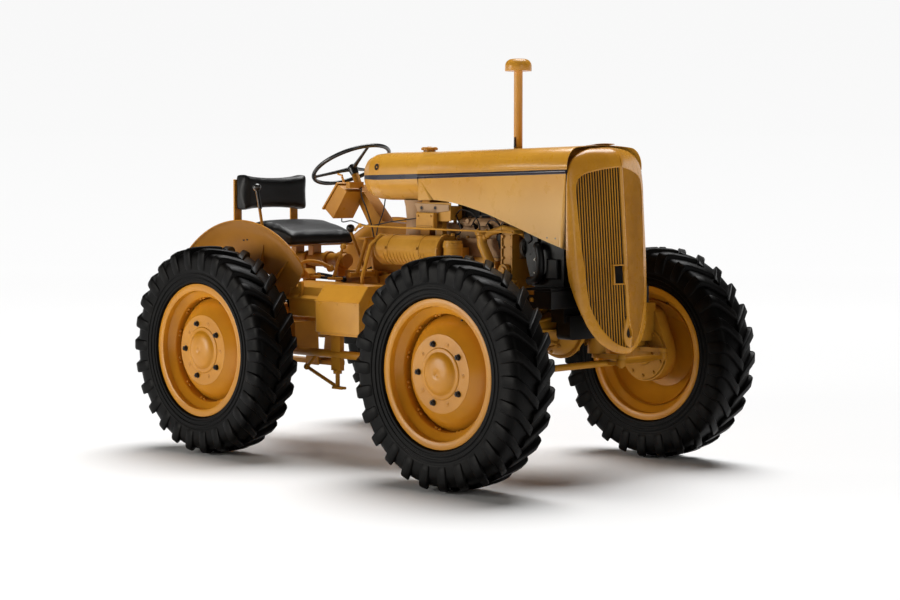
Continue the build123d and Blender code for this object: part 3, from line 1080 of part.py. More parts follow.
def fender(side):
    """Dished guard inboard of the rear wheel, on a bracket from the axle."""
    axis = Axis((REAR_X, 0, HUB_Z), (0, 1, 0))
    rim_r, root = FENDER_R, FENDER_R - FENDER_LIP
    outer = [(rim_r, -FENDER_OUT), (rim_r, -FENDER_OUT + FENDER_T), (rim_r - 30, -FENDER_OUT + 22), (rim_r - 90, -FENDER_IN - 14),
             (root, -FENDER_IN), (root, -FENDER_IN - FENDER_T), (rim_r - 88, -FENDER_IN - 14 - FENDER_T),
             (rim_r - 27, -FENDER_OUT + 22 - FENDER_T)]
    face = Face(Wire.make_polygon([Vector(REAR_X + r, y, HUB_Z) for r, y in outer], close=True))
    face = face.rotate(axis, -FENDER_FROM)
    sheet = Solid.revolve(face, FENDER_TO - FENDER_FROM, Axis((REAR_X, 0, HUB_Z), (0, -1, 0)))

    def corner(r, angle, along, across):
        """What a rounded corner takes off: along is the way back over the sheet, across the way to its middle radius."""
        a = math.radians(angle)
        out, round_ = Vector(math.cos(a), 0, math.sin(a)), Vector(-math.sin(a), 0, math.cos(a)) * along
        p = Vector(REAR_X, 0, HUB_Z) + out * r - round_ * 8 - out * across * 8
        near, c = FENDER_CORNER_R + 8, FENDER_CORNER_R
        mid = p + (round_ + out * across) * near
        arc = [mid - round_ * c * math.cos(math.radians(t)) - out * across * c * math.sin(math.radians(t))
               for t in (0, 22.5, 45, 67.5, 90)]
        points = [p, p + out * across * near, *arc, p + round_ * near]
        return prism([(v.X, -FENDER_OUT - 5, v.Z) for v in points], (0, FENDER_W + 10, 0))

    corners = [corner(rim_r, FENDER_FROM, 1, -1), corner(root, FENDER_FROM, 1, 1), corner(rim_r, FENDER_TO, -1, -1)]
    holes = []
    for angle in (92.0, 99.0):
        a = math.radians(angle)
        x, z = REAR_X + (rim_r - 62) * math.cos(a), HUB_Z + (rim_r - 62) * math.sin(a)
        holes.append(rod((x, -FENDER_OUT - 5, z), (x, -FENDER_IN + 5, z), FENDER_HOLE_R))
    plate = side_plate([(REAR_X - 60, AXLE_Z + TUBE_R - 6), (REAR_X + 60, AXLE_Z + TUBE_R - 6),
                        (REAR_X + 130, HUB_Z + root + 20), (REAR_X - 130, HUB_Z + root + 20)], -FENDER_IN - FENDER_T, -FENDER_IN)
    plate = cut(plate, rod((REAR_X, -BOX_IN, AXLE_Z), (REAR_X, 0, AXLE_Z), TUBE_R))
    return on_side(join(cut(sheet, *corners, *holes), plate), side)


def side_box(side):
    """Sheet box outside the rail, with a sloping lid."""
    x, y0, y1, z0, z1 = TOOLBOX_X0, -RAIL_OUT - TOOLBOX_W, -RAIL_OUT, TOOLBOX_Z0, TOOLBOX_Z0 + TOOLBOX_H
    outer = prism([(x, y0, z0), (x, y1, z0), (x, y1, z1), (x, y0 + LID_RUN, z1), (x, y0, z1 - LID_FALL)], (TOOLBOX_L, 0, 0))
    return on_side(outer, side)


def pedals():
    """Clutch and brake pedals with their cross shaft."""
    x, z = PEDAL_X, PEDAL_Z
    shaft = rod((x, -300, z), (x, 300, z), 14)
    arm = join(rod((x, -250, z), (x + 75, -250, z + 185), 10), block(x + 50, x + 100, -285, -215, z + 180, z + 190))
    hang = side_plate([(x - 30, z - 45), (x + 30, z - 45), (x + 15, z + 20), (x - 15, z + 20)], -GEARBOX_HALF - 12, -GEARBOX_HALF)
    return join(shaft, pair(arm), pair(hang)).cut(transmission(), steering_column())


def lower_tube(side):
    """Tube low beside the frame, hung from the rail."""
    tube = rod((LOW_TUBE_X0, -LOW_TUBE_Y, LOW_TUBE_Z), (LOW_TUBE_X1, -LOW_TUBE_Y, LOW_TUBE_Z), LOW_TUBE_R)
    post = block(TOOLBOX_X0 + 20, TOOLBOX_X0 + 86, -LOW_TUBE_Y - 14, -LOW_TUBE_Y + 14, LOW_TUBE_Z - 80, TOOLBOX_Z0)
    x = LOW_TUBE_X0 + 60
    arm = block(x, x + 44, -LOW_TUBE_Y - 8, -RAIL_OUT + RAIL_W, LOW_TUBE_Z - 12, RAIL_REAR_Z)
    px, foot_z = TOOLBOX_X0 + 53, LOW_TUBE_Z - 162
    jack = join(rod((px, -LOW_TUBE_Y, foot_z), (px, -LOW_TUBE_Y, LOW_TUBE_Z), 11),
                rod((px, -LOW_TUBE_Y, LOW_TUBE_Z - 96), (px, -LOW_TUBE_Y, LOW_TUBE_Z - 78), 22))
    strut = join(rod((px - 231, -LOW_TUBE_Y, LOW_TUBE_Z - 77), (px - 10, -LOW_TUBE_Y, foot_z + 2), 9),
                 Solid.make_sphere(16, Plane((px - 231, -LOW_TUBE_Y, LOW_TUBE_Z - 77)), -90, 90, 360),
                 rod((px - 231, -LOW_TUBE_Y, LOW_TUBE_Z - 77), (px - 150, -LOW_TUBE_Y, LOW_TUBE_Z - 6), 9),
                 block(px - 26, px + 46, -LOW_TUBE_Y - 16, -LOW_TUBE_Y + 16, foot_z - 10, foot_z + 2))
    return on_side(join(tube, post, arm, jack, strut), side)


def drawbar():
    """Bar below the rear axle, with the pin hole, hung between two plates."""
    top = DRAWBAR_Z + DRAWBAR_T
    bar = block(DRAWBAR_X, REAR_X + 145, -DRAWBAR_W / 2, DRAWBAR_W / 2, DRAWBAR_Z, top)
    nose = rod((DRAWBAR_X, 0, DRAWBAR_Z), (DRAWBAR_X, 0, top), DRAWBAR_W / 2)
    hole = rod((DRAWBAR_X, 0, DRAWBAR_Z - 5), (DRAWBAR_X, 0, top + 5), DRAWBAR_PIN_R)
    plate = side_plate([(REAR_X - 60, DRAWBAR_Z), (REAR_X + 40, DRAWBAR_Z), (REAR_X + 30, AXLE_Z - 60),
                        (REAR_X - 30, AXLE_Z - 60)], -HANGER_Y - HANGER_T, -HANGER_Y)
    tie = block(REAR_X - 40, REAR_X + 20, -HANGER_Y - 1, HANGER_Y + 1, top, top + HANGER_T)
    front = block(REAR_X + 115, REAR_X + 139, -DRAWBAR_W / 2, DRAWBAR_W / 2, top - 2, GEARBOX_BOTTOM + 60)
    return cut(join(bar, nose, pair(plate), tie, front), hole, diff_at(REAR_X), transmission())


def pto_shaft():
    """Power take-off stub behind the rear axle."""
    boss = rod((REAR_X - 60, 0, PTO_Z), (PTO_X0, 0, PTO_Z), PTO_BOSS_R)
    shaft = rod((PTO_X0, 0, PTO_Z), (PTO_X0 - PTO_L, 0, PTO_Z), PTO_R)
    return join(cut(boss, diff_at(REAR_X)), shaft)


# ---------------------------------------------------------------- what is written
def nodes():
    wheel_rim, wheel_tyre = rim(), tyre()
    made = {
        "cross_tube": cross_tube(CROSS_X), "nose_plate": nose_plate(), "tank_stand": tank_stand(),
        "front_axle": front_axle(), "rear_axle": rear_axle(),
        "transmission": transmission(), "engine_block": engine_block(), "cylinder_head": cylinder_head(),
        "manifold": manifold(), "engine_fittings": engine_fittings(), "fan": fan(), "radiator": radiator(),
        "grille_shell": grille_shell(), "grille_bars": grille_bars(), "hood_top": hood_top(),
        "fuel_tank": fuel_tank(), "filler_cap": filler_cap(), "intake_stack": intake_stack(),
        "steering_gear": steering_gear(), "steering_column": steering_column(), "instrument_box": instrument_box(),
        "control_levers": control_levers(), "seat_frame": seat_frame(), "seat_cushion": seat_cushion(),
        "seat_back": seat_back(), "seat_tube": seat_tube(), "pedals": pedals(),
        "drawbar": drawbar(), "pto_shaft": pto_shaft(), "steering_wheel": steering_wheel(),
        "tie_rod": tie_rod(), "pitman_arm": pitman_arm(),
    }
    for side in ("right", "left"):
        made["rail_" + side] = rail(side)
        made["lower_tube_" + side] = lower_tube(side)
        made["fender_" + side] = fender(side)
        made["side_box_" + side] = side_box(side)
        made["hood_" + side] = hood_panel(side)
        made["knuckle_" + side] = knuckle(side)
        for end, x in (("front", FRONT_X), ("rear", REAR_X)):
            made[f"rim_{end}_{side}"] = to_wheel(wheel_rim, x, side)
            made[f"tyre_{end}_{side}"] = to_wheel(wheel_tyre, x, side)
    return made


os.makedirs("parts", exist_ok=True)
for name, shape in nodes().items():
    export_step(shape, f"parts/{name}.step")
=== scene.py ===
"""Four-wheel-drive vintage tractor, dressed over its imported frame.

Metres, in the frame's own axes: X forward, Y to the driver's left, Z up, ground at zero.
"""
import json
import math
import random

import bmesh
import bpy
from mathutils import Matrix, Vector, noise

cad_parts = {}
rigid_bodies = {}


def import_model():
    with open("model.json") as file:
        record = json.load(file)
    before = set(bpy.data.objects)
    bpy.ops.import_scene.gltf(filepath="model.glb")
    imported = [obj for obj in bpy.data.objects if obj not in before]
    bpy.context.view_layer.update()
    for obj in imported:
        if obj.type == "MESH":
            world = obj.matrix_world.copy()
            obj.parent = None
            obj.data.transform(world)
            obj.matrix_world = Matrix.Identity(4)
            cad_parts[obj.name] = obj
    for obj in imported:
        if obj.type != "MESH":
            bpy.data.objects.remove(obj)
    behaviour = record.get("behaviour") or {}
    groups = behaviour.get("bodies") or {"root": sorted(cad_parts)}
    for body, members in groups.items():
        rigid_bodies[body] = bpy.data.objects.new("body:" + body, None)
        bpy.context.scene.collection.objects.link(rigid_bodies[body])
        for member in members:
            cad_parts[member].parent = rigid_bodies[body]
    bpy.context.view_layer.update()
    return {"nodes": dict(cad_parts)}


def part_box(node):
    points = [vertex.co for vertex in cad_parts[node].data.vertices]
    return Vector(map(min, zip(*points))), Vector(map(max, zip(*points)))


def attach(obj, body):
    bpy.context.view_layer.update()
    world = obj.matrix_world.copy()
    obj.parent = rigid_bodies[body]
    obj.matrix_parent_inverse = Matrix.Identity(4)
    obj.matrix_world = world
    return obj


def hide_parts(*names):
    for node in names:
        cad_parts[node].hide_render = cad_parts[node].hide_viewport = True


for thing in list(bpy.data.objects):
    bpy.data.objects.remove(thing)
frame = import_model()
nodes = frame["nodes"]
chance = random.Random(7)

# ---------------------------------------------------------------- studio
# A pale seamless floor under one broad soft light from above, with a softer box on the camera's left and
# a dim fill in front. The floor rises into the backdrop far behind the tractor and stays white there.
world = bpy.data.worlds.new("studio air")
bpy.context.scene.world = world
world.use_nodes = True
world.node_tree.nodes["Background"].inputs["Color"].default_value = (1.0, 1.0, 1.0, 1.0)
world.node_tree.nodes["Background"].inputs["Strength"].default_value = 0.02

camera = bpy.data.objects.new("camera", bpy.data.cameras.new("camera"))
bpy.context.scene.collection.objects.link(camera)
bpy.context.scene.camera = camera
camera.data.lens = 75.08
camera.data.clip_end = 100
camera.location = (6.6637, -6.6604, 1.3750)
camera.rotation_euler = (Vector((0.114, 0.0, 0.784)) - camera.location).to_track_quat("-Z", "Y").to_euler()


def lamp(name, kind, place, aim, size, power, tint=(1.0, 1.0, 1.0)):
    """Soft box in metres and watts, or a far broad light with its spread in degrees."""
    data = bpy.data.lights.new(name, kind)
    data.energy = power
    data.color = tint
    if kind == "AREA":
        data.size = size
    else:
        data.angle = math.radians(size)
    made = bpy.data.objects.new(name, data)
    made.location = place
    made.rotation_euler = (Vector(aim) - Vector(place)).to_track_quat("-Z", "Y").to_euler()
    bpy.context.scene.collection.objects.link(made)
    return made


lamp("overhead light", "SUN", (-1.0, 2.1, 6.0), (0.0, 0.0, 0.0), 44, 3.95)
lamp("left box", "AREA", (-3.6, -6.8, 1.75), (0.0, 0.0, 0.9), 3.0, 250, (1.0, 0.97, 0.91))
lamp("front fill", "AREA", (7.6, -2.2, 2.3), (0.3, 0.0, 0.8), 2.6, 40, (1.0, 0.97, 0.91))

floor_mesh = bpy.data.meshes.new("floor")
floor_rows = [(-60.0, 0.0), (-14.0, 0.0), (9.0, 0.0), (13.0, 0.35), (16.5, 2.0), (18.0, 4.0), (18.5, 6.5)]
back = Vector((-math.sin(math.radians(44.5)), math.cos(math.radians(44.5)), 0))
across = Vector((back.y, -back.x, 0))
floor_mesh.from_pydata([back * d + across * s + Vector((0, 0, h))
                        for d, h in floor_rows for s in (-60, 60)], [],
                       [(2 * i, 2 * i + 1, 2 * i + 3, 2 * i + 2) for i in range(len(floor_rows) - 1)])
floor = bpy.data.objects.new("floor", floor_mesh)
bpy.context.scene.collection.objects.link(floor)
for face in floor_mesh.polygons:
    face.use_smooth = True
floor_paper = bpy.data.materials.new("pale paper")
floor_paper.use_nodes = True
paper_nodes = floor_paper.node_tree
paper_nodes.nodes["Principled BSDF"].inputs["Roughness"].default_value = 0.95
paper_nodes.nodes["Principled BSDF"].inputs["Emission Strength"].default_value = 0.93
paper_height = paper_nodes.nodes.new("ShaderNodeSeparateXYZ")
paper_nodes.links.new(paper_nodes.nodes.new("ShaderNodeTexCoord").outputs["Object"], paper_height.inputs[0])
for socket, low, high in (("Base Color", (0.80, 0.80, 0.80, 1), (0.0, 0.0, 0.0, 1)),
                          ("Emission Color", (0.0, 0.0, 0.0, 1), (1.0, 1.0, 1.0, 1))):
    blend = paper_nodes.nodes.new("ShaderNodeValToRGB")
    blend.color_ramp.elements[0].color, blend.color_ramp.elements[1].color = low, high
    blend.color_ramp.elements[1].position = 0.35
    paper_nodes.links.new(paper_height.outputs["Z"], blend.inputs["Fac"])
    paper_nodes.links.new(blend.outputs["Color"], paper_nodes.nodes["Principled BSDF"].inputs[socket])
floor_mesh.materials.append(floor_paper)
bpy.context.scene.view_settings.view_transform = "Standard"

# ---------------------------------------------------------------- tyres
# Diagonal-ply farm tyres: a thin black carcass with fine moulding rings above the rim, and tall rubber
# bars that meet in a chevron at the middle and run down over the shoulders. The bars are swept along the
# tread and stand in the carcass.
class Piece:
    """Mesh under construction: rows of points, tubes, turned parts and plates, joined into one object."""

    def __init__(self):
        self.points, self.faces = [], []

    def grid(self, rows, around=False, ends=False):
        first, wide = len(self.points), len(rows[0])
        for row in rows:
            self.points += [Vector(p) for p in row]
        for i in range(len(rows) - 1):
            for j in range(wide if around else wide - 1):
                a, b = first + i * wide + j, first + i * wide + (j + 1) % wide
                self.faces.append((a, b, b + wide, a + wide))
        if ends:
            last = first + (len(rows) - 1) * wide
            self.faces.append(tuple(range(first + wide - 1, first - 1, -1)))
            self.faces.append(tuple(range(last, last + wide)))
        return self

    def turn(self, base, axis, profile, count=32, start=0.0, closed=False):
        """Profile of (distance along the axis, radius), turned about it."""
        axis = Vector(axis).normalized()
        side = axis.orthogonal().normalized()
        up = axis.cross(side)
        rows = []
        for along, radius in list(profile) + (list(profile[:1]) if closed else []):
            rows.append([Vector(base) + axis * along + (side * math.cos(t) + up * math.sin(t)) * radius
                         for t in (start + 2 * math.pi * i / count for i in range(count))])
        return self.grid(rows, around=True, ends=not closed)

    def tube(self, path, radius, count=12):
        """Round bar along a path of points. The radius may be a list, one for each point."""
        path = [Vector(p) for p in path]
        radii = radius if isinstance(radius, (list, tuple)) else [radius] * len(path)
        rows, side = [], None
        for i, p in enumerate(path):
            ahead = (path[min(i + 1, len(path) - 1)] - path[max(i - 1, 0)]).normalized()
            side = ahead.orthogonal() if side is None else side - ahead * side.dot(ahead)
            side.normalize()
            up = ahead.cross(side)
            rows.append([p + (side * math.cos(t) + up * math.sin(t)) * radii[i]
                         for t in (2 * math.pi * k / count for k in range(count))])
        return self.grid(rows, around=True, ends=True)

    def slab(self, outline, depth, bevel=0.001):
        """Flat plate: an outline of points in one plane, given depth by a vector, with eased edges."""
        outline, depth = [Vector(p) for p in outline], Vector(depth)
        normal = depth.normalized()
        inner = []
        for i, p in enumerate(outline):
            a, b = (outline[i - 1] - p).normalized(), (outline[(i + 1) % len(outline)] - p).normalized()
            inward = normal.cross(b) - normal.cross(a)
            area = sum(((q - outline[0]).cross(r - outline[0])).dot(normal)
                       for q, r in zip(outline[1:], outline[2:]))
            inner.append(p + inward * (bevel * (1 if area > 0 else -1) / max(0.3, 1 - a.dot(b))))
        lift = normal * bevel
        return self.grid([inner, [p + lift for p in outline], [p + depth - lift for p in outline],
                          [p + depth for p in inner]], around=True, ends=True)

    def box(self, low, high, bevel=0.001):
        (x0, y0, z0), (x1, y1, z1) = low, high
        return self.slab([(x0, y0, z0), (x1, y0, z0), (x1, y1, z0), (x0, y1, z0)], (0, 0, z1 - z0), bevel)

    def bolt(self, place, axis, width, height, washer=1.35):
        """Hexagon head on a washer."""
        axis = Vector(axis).normalized()
        if washer:
            self.turn(place, axis, [(0, width * washer / 2), (height * 0.18, width * washer / 2)], 20)
        return self.turn(place, axis, [(0, width * 0.577), (height * 0.85, width * 0.577),
                                       (height, width * 0.5)], 6, chance.random() * 3)

    def make(self, name, body, finish, crease=38.0, stands_for=()):
        mesh = bpy.data.meshes.new(name)
        mesh.from_pydata(self.points, [], self.faces)
        bm = bmesh.new()
        bm.from_mesh(mesh)
        bmesh.ops.remove_doubles(bm, verts=bm.verts, dist=1e-6)
        bmesh.ops.recalc_face_normals(bm, faces=bm.faces)
        for face in bm.faces:
            face.smooth = True
        for edge in bm.edges:
            edge.smooth = len(edge.link_faces) == 2 and edge.calc_face_angle(0.0) < math.radians(crease)
        bm.to_mesh(mesh)
        bm.free()
        made = bpy.data.objects.new(name, mesh)
        bpy.context.scene.collection.objects.link(made)
        mesh.materials.append(finish)
        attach(made, body)
        if stands_for:
            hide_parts(*stands_for)
        return made


def level(axis, at, *pairs):
    """Points in a plane across an axis (0, 1 or 2), from their other two coordinates."""
    return [(*pair[:axis], at, *pair[axis:]) for pair in pairs]


def eased(points, steps=6):
    """Smooth curve through the points."""
    points = [Vector(p) for p in points]
    padded = [points[0] * 2 - points[1]] + points + [points[-1] * 2 - points[-2]]
    made = []
    for a, b, c, d in zip(padded, padded[1:], padded[2:], padded[3:]):
        for i in range(steps):
            t = i / steps
            made.append(0.5 * (2 * b + (c - a) * t + (2 * a - 5 * b + 4 * c - d) * t * t
                               + (3 * b - a - 3 * c + d) * t ** 3))
    return made + [points[-1]]


class Wire:
    """A shader socket with arithmetic."""

    def __init__(self, finish, socket):
        self.finish, self.socket = finish, socket

    def math(self, operation, *values):
        return self.finish.node("ShaderNodeMath", {"operation": operation}, dict(enumerate(values)))

    def __add__(self, other): return self.math("ADD", self, other)
    def __sub__(self, other): return self.math("SUBTRACT", self, other)
    def __rsub__(self, other): return self.math("SUBTRACT", other, self)
    def __mul__(self, other): return self.math("MULTIPLY", self, other)
    __radd__, __rmul__ = __add__, __mul__

    def ramp(self, low, high, to_low=0.0, to_high=1.0):
        """Smooth step from low to high."""
        return self.finish.node("ShaderNodeMapRange", {"interpolation_type": "SMOOTHSTEP"},
                                {0: self, 1: low, 2: high, 3: to_low, 4: to_high})


class Finish:
    """A material being mixed."""

    def __init__(self, name):
        self.material = bpy.data.materials.new(name)
        self.material.use_nodes = True
        self.tree = self.material.node_tree
        self.shader = self.tree.nodes["Principled BSDF"]

    def node(self, kind, settings=None, values=None, out=0):
        made = self.tree.nodes.new(kind)
        for key, value in (settings or {}).items():
            setattr(made, key, value)
        for key, value in (values or {}).items():
            if isinstance(value, Wire):
                self.tree.links.new(value.socket, made.inputs[key])
            elif isinstance(value, tuple) and len(made.inputs[key].default_value) == 4:
                made.inputs[key].default_value = (*value[:3], 1.0)
            else:
                made.inputs[key].default_value = value
        return Wire(self, made.outputs[out])

    def place(self):
        return self.node("ShaderNodeTexCoord", out="Object")

    def grain(self, scale, detail=3.0, rough=0.55, at=None):
        return self.node("ShaderNodeTexNoise", {}, {"Vector": at or self.place(), "Scale": scale,
                "Detail": detail, "Roughness": rough})

    def along(self, axis, at=None):
        return self.node("ShaderNodeSeparateXYZ", {}, {0: at or self.place()}, out=axis)

    def mix(self, amount, a, b):
        return self.node("ShaderNodeMix", {"data_type": "RGBA"}, {0: amount, 6: a, 7: b}, out=2)

    def bump(self, height, strength, distance):
        return self.node("ShaderNodeBump", {}, {"Height": height, "Strength": strength, "Distance": distance})

    def set(self, **values):
        """Feeds the shader's sockets; a name's underscores stand for spaces."""
        for key, value in values.items():
            socket = self.shader.inputs[key.replace("_", " ")]
            if isinstance(value, Wire):
                self.tree.links.new(value.socket, socket)
            else:
                socket.default_value = (*value, 1.0) if isinstance(value, tuple) else value
        return self.material


rubber = Finish("tyre rubber")
scuff = rubber.grain(38, 5, 0.65)
dust = rubber.grain(6, 4, 0.6).ramp(0.45, 0.75)
tyre_rubber = rubber.set(Base_Color=rubber.mix(dust * 0.5 + scuff.ramp(0.55, 0.8) * 0.2,
                                               (0.0020, 0.0018, 0.0017), (0.0085, 0.0072, 0.0060)),
                         Roughness=scuff * 0.22 + 0.30, Specular_IOR_Level=0.075,
                         Normal=rubber.bump(scuff * 0.6 + rubber.grain(300, 2, 0.6) * 0.4, 0.35, 0.0012))

tyre_low, tyre_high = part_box("tyre_front_right")
lugs_per_side = 26
first_lug = math.radians(8.9)
# carcass from bead to crown, as (outboard offset, radius)
carcass = [(0.088, 0.306), (0.0905, 0.320), (0.0915, 0.334), (0.0985, 0.3400), (0.1060, 0.3420),
           (0.1080, 0.3450), (0.1084, 0.3540), (0.1120, 0.3560), (0.1124, 0.3650), (0.1090, 0.3665),
           (0.1100, 0.3760), (0.1145, 0.3780), (0.1150, 0.3880), (0.1120, 0.3895), (0.1130, 0.4000),
           (0.1165, 0.4020), (0.1178, 0.4250), (0.1182, 0.4480), (0.1160, 0.4680), (0.1085, 0.4870),
           (0.0930, 0.4990), (0.0600, 0.5045), (0.0300, 0.5060), (0.0, 0.5065)]
# the bars from the middle out and down the side: offset, radius of the top and the root, degrees behind
lug_line = [(-0.0080, 0.5225, 0.492, -6.6), (-0.0040, 0.5245, 0.492, -6.2), (0.0250, 0.5240, 0.491, -3.4),
            (0.0550, 0.5230, 0.489, -0.5), (0.0850, 0.5215, 0.484, 2.4), (0.1060, 0.5180, 0.474, 4.1),
            (0.1175, 0.5110, 0.462, 4.7), (0.1235, 0.4980, 0.452, 4.9), (0.1248, 0.4780, 0.440, 5.0),
            (0.1242, 0.4560, 0.428, 5.0), (0.1230, 0.4350, 0.416, 5.0), (0.1215, 0.4180, 0.408, 5.0),
            (0.1175, 0.4070, 0.4050, 5.0)]
# half width of a bar's top at each of those points
lug_half = [0.0200, 0.0205, 0.0210, 0.0212, 0.0215, 0.0222, 0.0235, 0.0250, 0.0260, 0.0262, 0.0260, 0.0250,
            0.0225]


def tyre(name, end, hand):
    """hand is -1 on the driver's right and 1 on the left."""
    low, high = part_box(name)
    hub = (Vector(low) + Vector(high)) / 2
    at = lambda o, r, t: hub + Vector((r * math.cos(t), hand * o, r * math.sin(t)))
    piece = Piece()
    half = eased([(o, r, 0) for o, r in carcass], 3)
    rings = [(p.x, p.y) for p in half] + [(-p.x, p.y) for p in half[-2::-1]]
    turns = [2 * math.pi * i / 140 for i in range(140)]
    piece.grid([[at(o, r, t) for t in turns] for o, r in rings], around=True)
    pitch = 2 * math.pi / lugs_per_side
    for row, phase in ((1, 0.0), (-1, 0.5)):
        for k in range(lugs_per_side):
            middle = first_lug + (k + phase) * pitch
            wear = chance.uniform(-0.0008, 0.0)
            sections = []
            for i, (o, r, foot, behind) in enumerate(lug_line):
                top = lug_half[i]
                base, t = top + (0.0060 if i < 7 else 0.0085), middle + math.radians(behind)
                if i < 7:
                    ring = [(o, foot, -base), (o, r - 0.0055 + wear, -top - 0.002),
                            (o, r - 0.0015 + wear, -top + 0.0012), (o, r + wear, -top + 0.0045),
                            (o, r + wear, top - 0.0045), (o, r - 0.0015 + wear, top - 0.0012),
                            (o, r - 0.0055 + wear, top + 0.002), (o, foot, base)]
                else:
                    root = o - 0.0160
                    ring = [(root, foot, -base), (o - 0.0040, r, -top - 0.0015),
                            (o - 0.0010, r, -top + 0.0010), (o, r, -top + 0.0035), (o, r, top - 0.0035),
                            (o - 0.0010, r, top - 0.0010), (o - 0.0040, r, top + 0.0015),
                            (root, foot, base)]
                sections.append([at(row * oo, rr, t + across / rr) for oo, rr, across in ring])
            piece.grid(sections, ends=True)
    made = piece.make(name + "_rubber", f"wheel_{end}", tyre_rubber, 32, (name,))
    return made


wheels = [(f"{end}_{side}", hand) for end in ("front", "rear") for side, hand in (("right", -1), ("left", 1))]
for end, hand in wheels:
    tyre("tyre_" + end, end, hand)

# ---------------------------------------------------------------- wheels
# Drop-centre rims of rolled sheet with a pressed disc riveted in, domed outwards to the bolting ring.
# A cast hub cap closes the middle; five black nuts alternate with five painted screws.
def paint(name, colour, shade, rough=0.30, coat=0.35, grime=0.25, peel=0.10, crevice=0.03,
          soil_and_shade_colour=(0.050, 0.021, 0.004)):
    """Brushed-over machine paint: clouded colour, painted shade with earth in the corners, a soft gloss."""
    coat_of = Finish(name)
    cloud = coat_of.grain(4.5, 4, 0.6)
    speck = coat_of.grain(75, 3, 0.7)
    streak = coat_of.grain(16, 5, 0.65)
    # ambient occlusion darkens the corners towards the earth colour: painted shade, mixed with streaks of
    # real earth
    corner = coat_of.node("ShaderNodeAmbientOcclusion", {"samples": 6}, {"Distance": crevice}, out="AO")
    dirt_and_corner_shade = ((1.0 - corner.ramp(0.25, 0.95)) * (streak.ramp(0.25, 0.7) * 0.6 + 0.4)
            + streak.ramp(0.62, 0.80) * grime)
    dirt_and_corner_shade = (dirt_and_corner_shade * (grime * 2.2)).math("MINIMUM", dirt_and_corner_shade * (grime * 2.2), 0.85)
    body = coat_of.mix(cloud.ramp(0.3, 0.7), shade, colour)
    body = coat_of.mix(speck.ramp(0.68, 0.82) * grime * 0.7, body, soil_and_shade_colour)
    return coat_of.set(Base_Color=coat_of.mix(dirt_and_corner_shade, body, soil_and_shade_colour),
                       Roughness=streak * 0.22 + dirt_and_corner_shade * 0.3 + (rough - 0.1),
                       Specular_IOR_Level=0.18 if coat < 0.3 else 0.30,
                       Coat_Weight=coat * 0.5 if coat > 0.29 else 0.0, Coat_Roughness=0.20,
                       Normal=coat_of.bump(coat_of.grain(210, 2, 0.5) + cloud * 0.6, peel, 0.0012))


wheel_paint = paint("wheel paint", (0.62, 0.260, 0.013), (0.54, 0.218, 0.010), rough=0.34, coat=0.30,
                    grime=0.16)
nut_black = Finish("black nuts")
nut_black = nut_black.set(Base_Color=nut_black.mix(nut_black.grain(90).ramp(0.5, 0.8),
                                                   (0.012, 0.011, 0.010), (0.05, 0.035, 0.02)),
                          Roughness=0.5, Metallic=0.3)
bolt_circle = 0.1375


def tyre_mid(end):
    low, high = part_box("tyre_" + end)
    return (low[1] + high[1]) / 2


